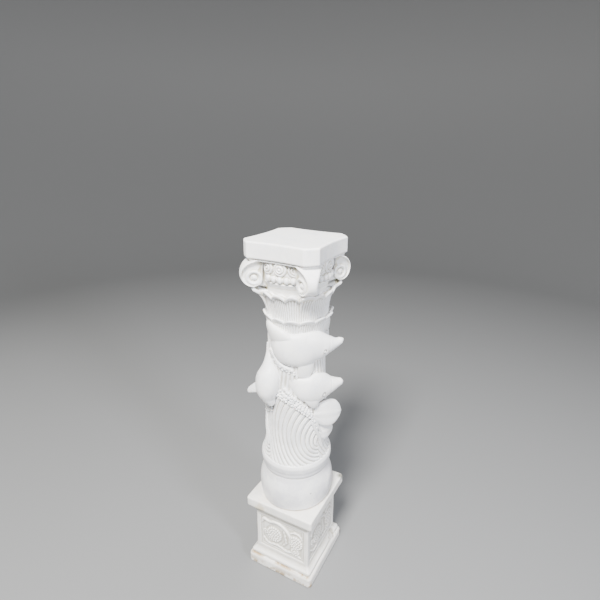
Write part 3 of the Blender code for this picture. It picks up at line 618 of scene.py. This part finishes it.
DIVING_FLIPPER = [(-34.0, 0.580, 1.16, 0.62), (-50.0, 0.530, 1.46, 0.60), (-59.0, 0.476, 1.77, 0.29)]
LARGE_FLUKE = [
    (66.0, 0.370, 1.00, 0.59), (84.0, 0.358, 1.22, 1.00), (97.0, 0.343, 1.46, 0.91),
    (106.0, 0.330, 1.66, 0.26),
]
SMALL_FLUKE = [(80.0, 0.175, 1.02, 0.83), (94.0, 0.17, 1.20, 1.00), (107.0, 0.165, 1.36, 0.33)]
FIGURES = [
    (LEAPING, LEAPING_GIRTH, (0.0, 140.0)), (LEAPING_BACK_FIN, FIN_WIDTH, (0.0, 140.0)),
    (SWIMMING, SWIMMING_GIRTH, (0.0, 140.0)), (SWIMMING_FLIPPER, FIN_WIDTH, (0.0, 140.0)),
    (DIVING, DIVING_GIRTH, (0.0, 236.0)),
    (LARGE_FLUKE, FLUKE_WIDTH, (0.0,)), (SMALL_FLUKE, 0.7 * FLUKE_WIDTH, (0.0,)),
]
LEAPING_DEPTHS = (0.66, 0.42)
SWIMMING_DEPTHS = (0.66, 0.44)
DIVING_DEPTHS = (0.95, 0.90)
LEAPING_MARKS = (0.29, 0.200, -0.35, -0.75)
SWIMMING_MARKS = (0.42, 0.235, -0.45, -0.95)
DIVING_MARKS = (0.40, 0.210, -1.1, -0.6)
BELLY = [
    (-30.0, 0.880, 1.02), (-21.0, 0.860, 1.03), (-9.0, 0.810, 1.04), (5.0, 0.775, 1.04),
    (25.0, 0.752, 1.04),
]


def figures(turn_leaping, turn_swimming, turn_diving, count, sides):
    """The three dolphins with their fins, turned round the shaft."""
    return [
        dolphin(LEAPING, LEAPING_GIRTH, LEAPING_DEPTHS, LEAPING_MARKS, turn_leaping, count, sides),
        blade(LEAPING_BACK_FIN, FIN_WIDTH, FIN_THICKNESS, turn_leaping, 0.0, 0.55),
        blade(LEAPING_FLIPPER, FIN_WIDTH, FIN_THICKNESS, turn_leaping),
        dolphin(SWIMMING, SWIMMING_GIRTH, SWIMMING_DEPTHS, SWIMMING_MARKS, turn_swimming, count, sides),
        blade(SWIMMING_FLIPPER, FIN_WIDTH, FIN_THICKNESS, turn_swimming, 0.0, -0.45),
        dolphin(DIVING, DIVING_GIRTH, DIVING_DEPTHS, DIVING_MARKS, turn_diving, count, sides),
        blade(DIVING_FLIPPER, FIN_WIDTH, 0.75 * FIN_THICKNESS, turn_diving),
    ]


def rope(stops, size, count=90):
    """A smooth round ridge along a path on the shaft, drawn in at both ends."""
    path = through([on_shaft(*stop) for stop in stops], count)
    place = np.linspace(0.0, 1.0, count)
    half = size * np.sqrt(np.clip(np.minimum(place, 1.0 - place) * 12.0, 0.0, 1.0) + 0.03)
    return along(path, half, half, 16)


def balls(stops, count, size, phase):
    """Foam: balls along a path on the shaft, as (ball, ring, side) grids of a unit ball's points.

    Their places sway up and down and their sizes change by sines of the ball's number.
    """
    k = np.arange(count) + phase
    path = through([on_shaft(*stop) for stop in stops], count)
    radius = size * (0.86 + 0.24 * np.sin(2.4 * k + 1.0))
    path = path + np.stack([0.0 * k, 0.0 * k, 0.0016 * np.sin(3.7 * k)], axis=1)
    t = np.linspace(0.0, math.pi, BALL_RINGS)[:, None]
    s = 2 * math.pi * np.arange(BALL_SIDES)[None, :] / BALL_SIDES
    unit = np.stack(np.broadcast_arrays(np.sin(t) * np.cos(s), np.sin(t) * np.sin(s), np.cos(t)), axis=-1)
    return list(path[:, None, None, :] + unit[None] * radius[:, None, None, None])


def foam():
    """Foam as balls and ropes: four rows of balls and two curling lips along each crest, three rows
    of spray under the diving beak, and rows under the leaping belly and by the swimming tail."""
    grids = []
    for wave in range(WAVE_COUNT):
        start = WAVE_FOCUS + 360.0 / WAVE_COUNT * wave
        for lift, count, size, phase, reach in (
            (0.006, 34, 0.0042, 0.0, 1.085), (-0.014, 39, 0.0031, 0.5, 1.095), (0.026, 37, 0.0036, 0.3, 1.07),
            (0.044, 30, 0.0029, 0.8, 1.055),
        ):
            grids += balls([(a + start, s + lift, reach) for a, s in CREST[2:8]], count, size, phase)
        lip = [(-21.0, 0.33, 1.07), (-9.0, 0.22, 1.09), (1.0, 0.13, 1.10), (9.0, 0.02, 1.10)]
        grids.append(rope([(a + start, s, r) for a, s, r in lip], 0.0042))
        grids.append(rope([(a + start + 5.0, s + 0.03, r) for a, s, r in lip], 0.0034))
    for drop, count, size in ((0.0, 15, 0.0046), (0.026, 14, 0.0036), (0.05, 12, 0.0030)):
        spray = [(-24.0, 0.425, 1.06), (-38.0, 0.40, 1.08), (-50.0, 0.365, 1.08), (-62.0, 0.31, 1.07)]
        grids += balls([(a, s - drop, r) for a, s, r in spray], count, size, drop)
    grids += balls(BELLY, 21, 0.0046, 0.0)
    grids += balls([(a, s - 0.018, r - 0.005) for a, s, r in BELLY], 19, 0.0033, 0.5)
    grids.append(rope([(a, s + 0.010, r - 0.01) for a, s, r in BELLY], 0.0045))
    tail = [(8.0, 0.600, 1.06), (13.0, 0.584, 1.07), (20.0, 0.556, 1.08), (27.0, 0.528, 1.08)]
    grids += balls(tail, 12, 0.0046, 0.2)
    grids += balls([(5.0, 0.560, 1.06), (14.0, 0.540, 1.08), (22.0, 0.515, 1.08)], 9, 0.0044, 0.7)
    return grids


# Capital


def scallops(angle, count, shift):
    """1 in the middle of each of count equal leaves and 0 between them."""
    return np.abs(np.cos(np.radians((angle - shift) * count / 2.0)))


def upper_leaves(angle):
    """Upper leaf edge from 0 between leaves to 1, and 1 on the corner leaves with a quick fall beside."""
    from_corner = np.abs((angle + 180.0) % 90.0 - 45.0)
    half = CORNER_LEAF_SPAN / 2.0
    corner = np.sqrt(np.clip(1.0 - (from_corner / half) ** 2, 0.0, 1.0))
    pitch = (90.0 - CORNER_LEAF_SPAN) / SIDE_SCALLOPS
    side = np.abs(np.sin(np.pi * (from_corner - half) / pitch)) * (from_corner >= half)
    return np.maximum(corner, side), ease(half - from_corner, -0.5, 2.5)


def leaf_tier(angle, foot_z, tip_z, foot, reach, ribs, lip, back):
    """A ring of leaves over angle and a parameter up the leaf, over its rolled lip and down behind.

    Up the leaf the radius follows foot + (reach - foot) t^2.2 and then bulges out to the lip, which
    is a half round; behind, the surface falls back to the core. Ribs are |cos| waves round the ring
    that lean along a slow sine and are broken up by a second wave along the height.
    """
    t = np.linspace(0.0, 1.0, 42)[:, None]
    wave = angle + 2.0 * t * np.sin(np.radians(angle * 7.0))
    broken = 0.75 + 0.25 * np.sin(26.0 * t + 2.0 * np.sin(np.radians(angle * 31.0)))
    rib = 0.0027 * (np.abs(np.cos(np.radians(wave * ribs / 2.0))) - 0.6) * broken
    rib = rib * ease(t, 0.0, 0.12) * (1.0 - ease(t, 0.84, 0.92))
    radius = foot + (reach - lip - foot) * t**2.2 + lip * ease(t, 0.86, 0.985) + rib
    height = foot_z + (tip_z - foot_z) * t
    turn = np.linspace(0.0, 1.0, 12)[1:, None] * math.pi
    lip_radius = reach - lip * (1.0 - np.cos(turn)) + 0.45 * lip * np.sin(turn)
    lip_height = tip_z + lip * np.sin(turn)
    s = np.linspace(0.0, 1.0, 8)[1:, None]
    behind_radius = lip_radius[-1] + (back[0] - lip_radius[-1]) * s**0.6
    behind_height = lip_height[-1] + (back[1] - lip_height[-1]) * s
    radius = np.concatenate([radius, lip_radius, behind_radius])
    height = np.concatenate([height, lip_height, behind_height])
    return capped(hand(polar(angle[None, :], radius, height), 0.0004))


def leaves():
    """Lower tier of equal leaves, which stand out more on the right, and the upper tier."""
    angle = np.arange(540) * 360.0 / 540.0
    low = scallops(angle, LOWER_LEAF_COUNT, 22.0)
    lean = 0.005 * np.cos(np.radians(angle - 113.0))
    reach = SHAFT_RADIUS + (0.0150 + lean) * (0.42 + 0.58 * low**0.6)
    tip = LOWER_LEAF_Z + LOWER_LEAF_HEIGHT * (0.80 + 0.19 * low**0.7)
    first = leaf_tier(
        angle, LOWER_LEAF_Z - 0.016, tip, SHAFT_RADIUS - 0.001, reach, 84, 0.0036,
        (SHAFT_RADIUS - 0.006, UPPER_LEAF_Z - 0.012),
    )
    high, corner = upper_leaves(angle)
    swell = np.clip(lean, 0.0, None)
    reach = 0.0745 + 0.0165 * (0.50 + 0.50 * high**0.6) + 0.018 * corner + 0.4 * swell
    tip = UPPER_LEAF_Z + UPPER_LEAF_HEIGHT * (0.745 + 0.195 * high**0.8) + 0.0055 * corner
    second = leaf_tier(
        angle, UPPER_LEAF_Z - 0.012, tip, 0.0705 + swell, reach, 90, 0.0046,
        (BELL_RADIUS - 0.004, BELL_Z - 0.004),
    )
    return [first, second]


def echinus_grid():
    """Bell and echinus over angle and height, with eggs and a bead row raised on each side.

    An egg is a flat disc with a ring groove, a ridge and a centre dot at set distances from its
    middle; a bead is a dome of oval outline and a reel a narrow one between two beads. Behind the
    corner scrolls the radius runs out to a corbelled block, a little narrower than the scroll.
    """
    foot_z = BELL_Z - 0.012
    above = np.linspace(ECHINUS_Z + 0.001, ABACUS_Z + 0.001, 62)
    height = np.concatenate([np.linspace(foot_z, ECHINUS_Z, 20), above])
    angle = np.arange(600) * 0.6
    bell_z = [foot_z, BELL_Z, BELL_Z + 0.010, ECHINUS_Z]
    bell = np.interp(height, bell_z, [0.071, BELL_RADIUS, 0.0756, 0.0795])
    radius = np.where(height > ECHINUS_Z, ECHINUS_RADIUS, bell)[:, None] * np.ones((1, 600))
    side = (angle + 45.0) % 90.0 - 45.0
    z = height[:, None]
    arc = np.radians(side - ORNAMENT_TURN)[None, :] * ECHINUS_RADIUS
    relief = np.zeros(radius.shape)
    for k in (-1, 0, 1):
        r = np.hypot(arc - k * EGG_PITCH, z - (FILLET_Z - 0.8 * EGG_RADIUS)) / EGG_RADIUS
        disc = 0.0064 * np.sqrt(np.clip(1.0 - r**3, 0.0, 1.0))
        rings = -0.0024 * bump(r - 0.62, 0.09) + 0.0004 * bump(r - 0.42, 0.08) - 0.0020 * bump(r - 0.25, 0.09)
        relief = np.maximum(relief, disc + (rings + 0.0012 * bump(r, 0.10)) * (r < 1.0))
    for k in range(-2, 3):
        r = np.hypot((arc - k * BEAD_PITCH) / (BEAD_RADIUS * 1.02), (z - BEAD_Z) / (BEAD_RADIUS * 1.35))
        relief = np.maximum(relief, 0.0078 * np.sqrt(np.clip(1.0 - r**2, 0.0, 1.0)))
    for k in range(-3, 3):
        r = np.hypot((arc - (k + 0.5) * BEAD_PITCH) / 0.0019, (z - BEAD_Z) / 0.0066)
        relief = np.maximum(relief, 0.0042 * np.sqrt(np.clip(1.0 - r**2, 0.0, 1.0)))
    band = 0.0014 * bump(z - (BEAD_Z - 0.0108), 0.0013) * (np.abs(side) < 34.0)
    from_corner = np.radians((angle + 180.0) % 90.0 - 45.0)
    block = np.minimum(0.100 / np.cos(from_corner), 0.0160 / np.maximum(np.abs(np.sin(from_corner)), 0.05))
    foot = FILLET_Z - VOLUTE_RISE - 0.8 * VOLUTE_CORE
    corbel = BELL_RADIUS + (block - BELL_RADIUS) * ease(z, foot - 0.013, foot)
    reach = np.maximum(radius + relief + band, np.where(block > BELL_RADIUS, corbel, 0.0))
    return capped(hand(polar(angle[None, :], reach, z), 0.0003))


def volute_edge(turn):
    """Distance of the scroll's edge from its eye; turn in degrees, 90 at the top, then down and in."""
    wound = np.clip((turn + 180.0) / 270.0, 0.0, 1.3)
    return VOLUTE_CORE + (VOLUTE_RISE - VOLUTE_CORE) * wound**2


def volute_face(distance, rim):
    """Height of a scroll's face: a rim, a hollow field, a ring, a groove and the eye, from the edge in.

    The field is a half sine between ring and rim, the others are bells about their own distance.
    """
    width = np.maximum(rim - 0.0165, 0.0006)
    field = np.sin(math.pi * np.clip((distance - 0.0165) / width, 0.0, 1.0)) ** 0.5
    height = -np.minimum(0.0042, 0.30 * width) * field
    height = height + 0.0010 * bump(distance - rim, 0.0020) + 0.0016 * bump(distance - 0.0138, 0.0030)
    return height - 0.0034 * bump(distance - 0.0084, 0.0022) + 0.0028 * bump(distance, 0.0036)


def volute(index):
    """One corner scroll over turn and a parameter across: one face from its eye out to the edge, the
    band across the edge, and the other face back to its eye.

    The faces are splayed: half the thickness is half the band plus the splay times the distance
    from the outermost point.
    """
    eye_out = VOLUTE_REACH - float(volute_edge(0.0))
    eye_z = FILLET_Z - VOLUTE_RISE
    turns = np.linspace(100.0, -185.0, 120)
    edge = volute_edge(turns)
    top = FILLET_Z + 0.003 - eye_z
    out = edge * np.cos(np.radians(turns))
    rise = edge * np.sin(np.radians(turns))
    rise = rise + (top - rise) * ease(turns, 84.0, 100.0)
    out = np.append(out, np.linspace(out[-1], out[-1], 9))
    rise = np.append(rise, np.linspace(rise[-1], top, 9))
    rounding = 0.93 + 0.07 * np.sin(np.linspace(0.1, 0.5, 6) * math.pi)
    scale = np.concatenate([np.linspace(0.02, 0.93, 40), rounding])[:, None]
    reach = eye_out + out[None, :] * scale
    level = eye_z + rise[None, :] * scale
    distance = np.hypot(out, rise)[None, :] * scale
    up = (level - eye_z) / VOLUTE_RISE
    widening = 0.5 * (VOLUTE_TOP_WIDTH - VOLUTE_FOOT_WIDTH)
    band = 0.5 * VOLUTE_FOOT_WIDTH + widening * np.clip(up, 0.0, 1.2) ** 1.5
    band = band + 0.003 * np.clip(-up, 0.0, 1.0)
    face = volute_face(distance, 0.95 * np.hypot(out, rise)[None, :])
    half = band + VOLUTE_SPLAY * (VOLUTE_REACH - reach) + face
    half = half - 0.0016 * ease(scale, 0.955, 1.0)
    forward, sideways = polar(45.0 + 90.0 * index, 1.0, 0.0), polar(135.0 + 90.0 * index, 1.0, 0.0)
    upward = np.array([0.0, 0.0, 1.0])

    def place(reach, level, half):
        return reach[..., None] * forward + level[..., None] * upward + half[..., None] * sideways

    across = np.linspace(-0.88, 0.88, 9)[:, None]
    swell = 1.0 + 0.035 * (1.0 - across**2)
    edge_reach = eye_out + out[None, :] * swell
    edge_level = eye_z + rise[None, :] * swell**0.6
    middle = place(edge_reach, edge_level, half[-1][None, :] * across)
    faces = place(reach, level, -half), place(reach[::-1], level[::-1], half[::-1])
    return capped(hand(np.concatenate([faces[0], middle, faces[1]]), 0.0003))


def abacus_grid():
    """Slab and fillets over level and outline: hollow sides t -> -half + hollow (1 - t^2), cut
    corners, and edges rounded by a quarter circle at top and bottom."""
    levels = [(FILLET_INSET + 0.0035, FILLET_Z - 0.001), (FILLET_INSET + 0.001, FILLET_Z)]
    levels += [(FILLET_INSET, FILLET_Z + 0.0008), (FILLET_INSET, FILLET_Z + 0.0022)]
    levels += [(FILLET_INSET + 0.0016, FILLET_Z + 0.0030), (FILLET_INSET + 0.0014, FILLET_Z + 0.0038)]
    levels.append((FILLET_INSET - 0.0015, ABACUS_Z - 0.0014))
    for t in np.linspace(0.0, 1.0, 7):
        turn = 0.5 * math.pi * t
        rise = ABACUS_FOOT_EDGE * (1.0 - math.cos(turn))
        levels.append((ABACUS_FOOT_EDGE * (1.0 - math.sin(turn)), ABACUS_Z + rise))
    levels += [(0.0, z) for z in np.linspace(ABACUS_Z + 0.005, TOP_Z - 0.0052, 14)]
    for t in np.linspace(0.0, 1.0, 8):
        turn = 0.5 * math.pi * t
        drop = ABACUS_TOP_EDGE * (1.0 - math.sin(turn))
        levels.append((ABACUS_TOP_EDGE * (1.0 - math.cos(turn)), TOP_Z - drop))
    levels += [(inset, TOP_Z) for inset in (0.008, 0.02, 0.04, 0.06, 0.08)]
    inset, height = np.array(levels).T
    half = ABACUS_HALF - inset[:, None]
    reach = half - ABACUS_CHAMFER * half / ABACUS_HALF
    t = np.linspace(-1.0, 1.0, 61)[None, :]
    x = reach * t
    y = -half + ABACUS_HOLLOW * (1.0 - t**2) * half / ABACUS_HALF
    s = np.linspace(0.0, 1.0, 16)[1:-1][None, :]
    swell = 0.0012 * np.sin(math.pi * s)
    cut_x = reach + (half - reach) * s + swell
    cut_y = -half + (half - reach) * s - swell
    ring = four_sides(np.concatenate([x, cut_x], axis=1), np.concatenate([y, cut_y], axis=1))
    points = np.concatenate([ring, np.broadcast_to(height[:, None, None], (*ring.shape[:2], 1))], axis=2)
    return capped(points)


# Materials


def linear(code):
    """An sRGB hex colour as linear red, green, blue and 1."""
    values = np.array([int(code[i : i + 2], 16) / 255.0 for i in (1, 3, 5)])
    values = np.where(values <= 0.04045, values / 12.92, ((values + 0.055) / 1.055) ** 2.4)
    return (*values.tolist(), 1.0)


def add(tree, kind, values, output=0, **settings):
    """A node with its settings and sockets, by name or number; gives the output asked for.

    Another node's output is linked to its socket, and anything else is set on the socket.
    """
    node = tree.nodes.new(kind)
    for name, value in settings.items():
        setattr(node, name, value)
    for socket, value in values.items():
        if isinstance(value, bpy.types.NodeSocket):
            tree.links.new(value, node.inputs[socket])
        else:
            node.inputs[socket].default_value = value
    return node.outputs[output]


def around_place(tree, place, middle, radius):
    """1 at a place of the object and 0 beyond a radius from it."""
    away = add(tree, "ShaderNodeVectorMath", {0: place, 1: middle}, "Value", operation="DISTANCE")
    return add(tree, "ShaderNodeMapRange", {"Value": away, "From Min": radius, "From Max": 0.3 * radius})


def honed_marble(name, light, shade, stains_and_shade):
    """Crystalline white marble, sawn and carved by hand, then honed to a satin sheen.

    Light enters a few millimetres, so edges glow softly. The body colour drifts between warm and
    grey white, faint grey veins cross it, and dust and wax together with painted shade darken the
    bottoms of the cuts; painted shade also darkens the places where pieces meet. Each stain or
    painted shade is its colour, its strength, how patchy it is and a function that gives where it lies.
    """
    made = bpy.data.materials.new(name)
    made.use_nodes = True
    tree = made.node_tree
    shader = tree.nodes["Principled BSDF"]
    place = add(tree, "ShaderNodeTexCoord", {}, "Object")
    height = add(tree, "ShaderNodeSeparateXYZ", {"Vector": place}, "Z")
    hollow = add(tree, "ShaderNodeAttribute", {}, "Fac", attribute_name="hollow")
    # Clouds of about 60 mm, veins bent over about 90 mm, spots of about 26 mm, grain of about 1.5 mm.
    cloud = add(tree, "ShaderNodeTexNoise", {
        "Vector": place, "Scale": 17.0, "Detail": 5.0, "Roughness": 0.55,
    }, "Fac")
    bend = add(tree, "ShaderNodeTexNoise", {
        "Vector": place, "Scale": 9.0, "Detail": 3.0, "Roughness": 0.6,
    }, "Color")
    bent = add(tree, "ShaderNodeVectorMath", {0: bend, "Scale": 0.22}, operation="SCALE")
    moved = add(tree, "ShaderNodeVectorMath", {0: place, 1: bent}, operation="ADD")
    vein = add(tree, "ShaderNodeTexNoise", {
        "Vector": moved, "Scale": 11.0, "Detail": 2.0, "Roughness": 0.5,
    }, "Fac")
    centred = add(tree, "ShaderNodeMath", {0: vein, 1: 0.5}, operation="SUBTRACT")
    apart = add(tree, "ShaderNodeMath", {0: centred}, operation="ABSOLUTE")
    grain = add(tree, "ShaderNodeTexVoronoi", {"Vector": place, "Scale": 650.0}, "Distance")
    spots = add(tree, "ShaderNodeTexNoise", {
        "Vector": place, "Scale": 38.0, "Detail": 6.0, "Roughness": 0.65,
    }, "Fac")

    drift = add(tree, "ShaderNodeMapRange", {"Value": cloud, "From Min": 0.35, "From Max": 0.68})
    veins = add(tree, "ShaderNodeMapRange", {
        "Value": apart, "From Min": 0.028, "From Max": 0.0, "To Max": 0.20,
    })
    glints = add(tree, "ShaderNodeMapRange", {
        "Value": grain, "From Min": 0.25, "From Max": 0.75, "To Max": 0.10,
    })
    # Dust and old wax in the cuts, with painted shade in them and where pieces meet, more where a slow
    # pattern lets it gather.
    cuts = add(tree, "ShaderNodeMapRange", {
        "Value": hollow, "From Min": 0.02, "From Max": 0.42, "To Max": 0.75,
    })
    gathered = add(tree, "ShaderNodeMapRange", {"Value": spots, "From Min": 0.18, "From Max": 0.52})
    # painted shade: this darkens the cuts and the places where pieces meet, mixed with the dust
    dust_and_shade = add(tree, "ShaderNodeMath", {0: cuts, 1: gathered}, operation="MULTIPLY")
    layers = [(drift, shade), (veins, "#C6C7C8"), (glints, "#FFFFFF"), (dust_and_shade, "#ABA595")]
    # some of these marks are painted shade as well: the panel ground and the capital's cuts
    for code, strength, patchy, where in stains_and_shade:
        patches = add(tree, "ShaderNodeMapRange", {
            "Value": spots, "From Min": 0.52 - patchy, "From Max": 0.56, "To Max": strength,
        })
        lies = where(tree, place, height, hollow)
        layers.append((add(tree, "ShaderNodeMath", {0: lies, 1: patches}, operation="MULTIPLY"), code))
    colour = linear(light)
    for amount, code in layers:
        sockets = {"Factor": amount, 6: colour, 7: linear(code)}
        colour = add(tree, "ShaderNodeMix", sockets, 2, data_type="RGBA")
    tree.links.new(colour, shader.inputs["Base Color"])

    rough = add(tree, "ShaderNodeMapRange", {
        "Value": cloud, "From Min": 0.2, "From Max": 0.8, "To Min": 0.32, "To Max": 0.48,
    })
    tree.links.new(rough, shader.inputs["Roughness"])
    relief = add(tree, "ShaderNodeBump", {"Height": spots, "Strength": 0.30, "Distance": 0.0012})
    fine = add(tree, "ShaderNodeBump", {
        "Height": grain, "Normal": relief, "Strength": 0.08, "Distance": 0.0003,
    })
    tree.links.new(fine, shader.inputs["Normal"])
    shader.inputs["Metallic"].default_value = 0.0
    shader.inputs["IOR"].default_value = 1.49
    shader.inputs["Subsurface Weight"].default_value = 0.15
    shader.inputs["Subsurface Radius"].default_value = (1.0, 0.85, 0.7)
    shader.inputs["Subsurface Scale"].default_value = 0.003
    return made


def front(tree, place):
    """1 on the front face of the block and 0 on the others."""
    y = add(tree, "ShaderNodeSeparateXYZ", {"Vector": place}, "Y")
    return add(tree, "ShaderNodeMapRange", {"Value": y, "From Min": -0.0835, "From Max": -0.0875})


# Where each stain or painted shade lies: every function takes the tree, the place, the height and the hollow.


def damp_foot(tree, place, height, hollow):
    """Rising damp on the front: full 4 mm up, gone 26 mm up."""
    low = add(tree, "ShaderNodeMapRange", {"Value": height, "From Min": 0.026, "From Max": 0.004})
    return add(tree, "ShaderNodeMath", {0: front(tree, place), 1: low}, operation="MULTIPLY")


def step_joint(tree, place, height, hollow):
    """The line where the step stands on the plinth, on the front."""
    above = add(tree, "ShaderNodeMapRange", {"Value": height, "From Min": 0.0355, "From Max": 0.0305})
    below = add(tree, "ShaderNodeMapRange", {"Value": height, "From Min": 0.0255, "From Max": 0.0290})
    line = add(tree, "ShaderNodeMath", {0: above, 1: front(tree, place)}, operation="MULTIPLY")
    return add(tree, "ShaderNodeMath", {0: line, 1: below}, operation="MULTIPLY")


def panel_ground(tree, place, height, hollow):
    """Dust together with painted shade on the ground of the panels, between the raised parts."""
    low = add(tree, "ShaderNodeMapRange", {"Value": hollow, "From Min": 0.0, "From Max": 0.16})
    up = add(tree, "ShaderNodeMapRange", {"Value": height, "From Min": 0.050, "From Max": 0.053})
    return add(tree, "ShaderNodeMath", {0: low, 1: up}, operation="MULTIPLY")


def cap_patch(tree, place, height, hollow):
    """A rusty patch on the cornice, near the left end of the front."""
    return around_place(tree, place, (-0.050, -0.090, 0.190), 0.034)


def cap_corner(tree, place, height, hollow):
    """Dark grit on the cap plate's back right corner."""
    return around_place(tree, place, (0.094, 0.088, 0.2175), 0.014)


def drum_seam(tree, place, height, hollow):
    """Cream filler in the joint under the drum."""
    return add(tree, "ShaderNodeMapRange", {"Value": height, "From Min": 0.2250, "From Max": 0.2215})


def drum_clouds(tree, place, height, hollow):
    """Lilac-grey clouds in the drum and its neck."""
    return add(tree, "ShaderNodeMapRange", {"Value": height, "From Min": 0.352, "From Max": 0.335})


def drum_speck(tree, place, height, hollow):
    """One small dark speck on the drum."""
    return around_place(tree, place, tuple(polar(52.0, 0.0962, 0.271).tolist()), 0.0032)


def under_scrolls(tree, place, height, hollow):
    """Yellowed wax together with painted shade in the cuts of the capital, from the bell up."""
    up = add(tree, "ShaderNodeMapRange", {"Value": height, "From Min": 0.780, "From Max": 0.800})
    low = add(tree, "ShaderNodeMapRange", {"Value": hollow, "From Min": 0.02, "From Max": 0.30})
    return add(tree, "ShaderNodeMath", {0: up, 1: low}, operation="MULTIPLY")


def plain_finish(name, colour, roughness):
    """Painted studio floor: one pale even colour, dull."""
    made = bpy.data.materials.new(name)
    made.use_nodes = True
    shader = made.node_tree.nodes["Principled BSDF"]
    shader.inputs["Base Color"].default_value = linear(colour)
    shader.inputs["Roughness"].default_value = roughness
    return made


# Studio


def studio():
    """A floor that rises far off into a curved wall, and four broad lights inside it.

    The floor is turned round the axis: flat to 3 m, then a quarter circle of 2 m, then a wall to 4.5 m.
    """
    turn = np.radians(np.linspace(0.0, 90.0, 19))
    out = np.concatenate([[0.0, 1.0, 2.0], 3.0 + 2.0 * np.sin(turn), [5.0]])
    up = np.concatenate([[0.0, 0.0, 0.0], 2.0 - 2.0 * np.cos(turn), [4.5]])
    grid = polar(np.arange(72)[None, :] * 5.0, out[:, None], up[:, None])
    mesh = bpy.data.meshes.new("studio_floor")
    mesh.from_pydata(grid.reshape(-1, 3), [], grid_faces(len(out), 72))
    shape = bmesh.new()
    shape.from_mesh(mesh)
    bmesh.ops.remove_doubles(shape, verts=shape.verts, dist=0.0001)
    shape.to_mesh(mesh)
    shape.free()
    mesh.shade_smooth()
    mesh.materials.append(plain_finish("painted floor", "#7C7D7E", 0.6))
    floor = bpy.data.objects.new("studio_floor", mesh)
    bpy.context.scene.collection.objects.link(floor)
    for name, place, size, power, colour in (
        ("light_key", (0.3, -1.6, 2.8), 0.7, 340.0, "#FFFDF9"),
        ("light_above", (0.3, 0.6, 2.8), 0.8, 25.0, "#FFFFFF"),
        ("light_left", (-2.3, -0.4, 1.0), 0.8, 10.0, "#FFFCF6"),
        ("light_right", (2.4, -0.9, 1.6), 0.5, 85.0, "#F2F5FF"),
    ):
        lamp = bpy.data.lights.new(name, "AREA")
        lamp.size = size
        lamp.energy = power
        lamp.color = linear(colour)[:3]
        obj = bpy.data.objects.new(name, lamp)
        obj.location = place
        aim = Vector((0.0, 0.0, 0.5)) - Vector(place)
        obj.rotation_euler = aim.to_track_quat("-Z", "Y").to_euler()
        bpy.context.scene.collection.objects.link(obj)
    world = bpy.data.worlds.new("studio")
    world.use_nodes = True
    world.node_tree.nodes["Background"].inputs["Color"].default_value = linear("#DADCDE")
    world.node_tree.nodes["Background"].inputs["Strength"].default_value = 0.20
    bpy.context.scene.world = world


def camera():
    """The photograph's camera, from its fitted place, heading, pitch and roll."""
    angles = (CAMERA_AZIMUTH, CAMERA_AZIMUTH - CAMERA_YAW, CAMERA_PITCH, CAMERA_ROLL)
    azimuth, heading, pitch, roll = (math.radians(angle) for angle in angles)
    place = TOP_Z * Vector((CAMERA_AWAY * math.sin(azimuth), -CAMERA_AWAY * math.cos(azimuth), CAMERA_UP))
    forward = Vector((
        -math.sin(heading) * math.cos(pitch), math.cos(heading) * math.cos(pitch), -math.sin(pitch)
    ))
    right = forward.cross(Vector((0.0, 0.0, 1.0))).normalized()
    up = right.cross(forward)
    tilted_right = math.cos(roll) * right + math.sin(roll) * up
    tilted_up = math.cos(roll) * up - math.sin(roll) * right
    lens = bpy.data.cameras.new("camera")
    lens.sensor_width = SENSOR
    lens.lens = FOCAL_PIXELS / FRAME * SENSOR
    lens.shift_x = (FRAME / 2 - MIDDLE_PIXEL[0]) / FRAME
    lens.shift_y = (MIDDLE_PIXEL[1] - FRAME / 2) / FRAME
    obj = bpy.data.objects.new("camera", lens)
    axes = Matrix((tilted_right, tilted_up, -forward)).transposed().to_4x4()
    obj.matrix_world = Matrix.Translation(place) @ axes
    bpy.context.scene.collection.objects.link(obj)
    bpy.context.scene.camera = obj


def main():
    camera()
    studio()
    pedestal = honed_marble("honed white marble, pedestal", "#F3F0EA", "#E6E4DF", [
        ("#9C7F4C", 0.90, 0.04, damp_foot), ("#A98B5C", 0.90, 0.10, step_joint),
        ("#C9B88F", 0.70, 0.06, cap_patch), ("#6E6E62", 0.90, 0.50, cap_corner),
        # the panel ground colour #CDC9BE is dust together with painted shade
        ("#CDC9BE", 0.80, 0.50, panel_ground),
    ])
    column = honed_marble("honed white marble, column", "#F4F3F1", "#E5E6E8", [
        ("#B39660", 0.95, 0.50, drum_seam), ("#6E6A66", 0.9, 0.50, drum_speck),
        # under_scrolls paints yellowed wax together with painted shade in the capital's cuts
        ("#DAD9DF", 0.60, 0.06, drum_clouds), ("#BDB48C", 0.50, 0.15, under_scrolls),
    ])
    piece("pedestal_block", [capped(pedestal_grid())], pedestal, "pedestal")
    piece("drum", [drum_grid()], column, "column")
    # near_figures and near_shaft mark where painted contact shade darkens the marble
    piece("shaft", [shaft_grid()], column, "column", 6, near_figures)
    piece("dolphins_front", figures(0.0, 0.0, 0.0, 200, 72), column, "column", 10, near_shaft)
    piece("dolphins_back", figures(140.0, 140.0, 236.0, 120, 56), column, "column", 10, near_shaft)
    flukes = [
        blade(LARGE_FLUKE, FLUKE_WIDTH, FLUKE_THICKNESS, 0.0, 0.0008),
        blade(SMALL_FLUKE, 0.7 * FLUKE_WIDTH, 0.85 * FLUKE_THICKNESS, 0.0, 0.0006),
    ]
    piece("tail_flukes", flukes, column, "column", 10, near_shaft)
    piece("wave_foam", foam(), column, "column", 4, near_shaft)
    piece("leaf_tiers", leaves(), column, "column", 6)
    piece("echinus", [echinus_grid()], column, "column", 6)
    piece("corner_scrolls", [volute(k) for k in range(4)], column, "column", 6)
    piece("abacus", [abacus_grid()], column, "column")


main()
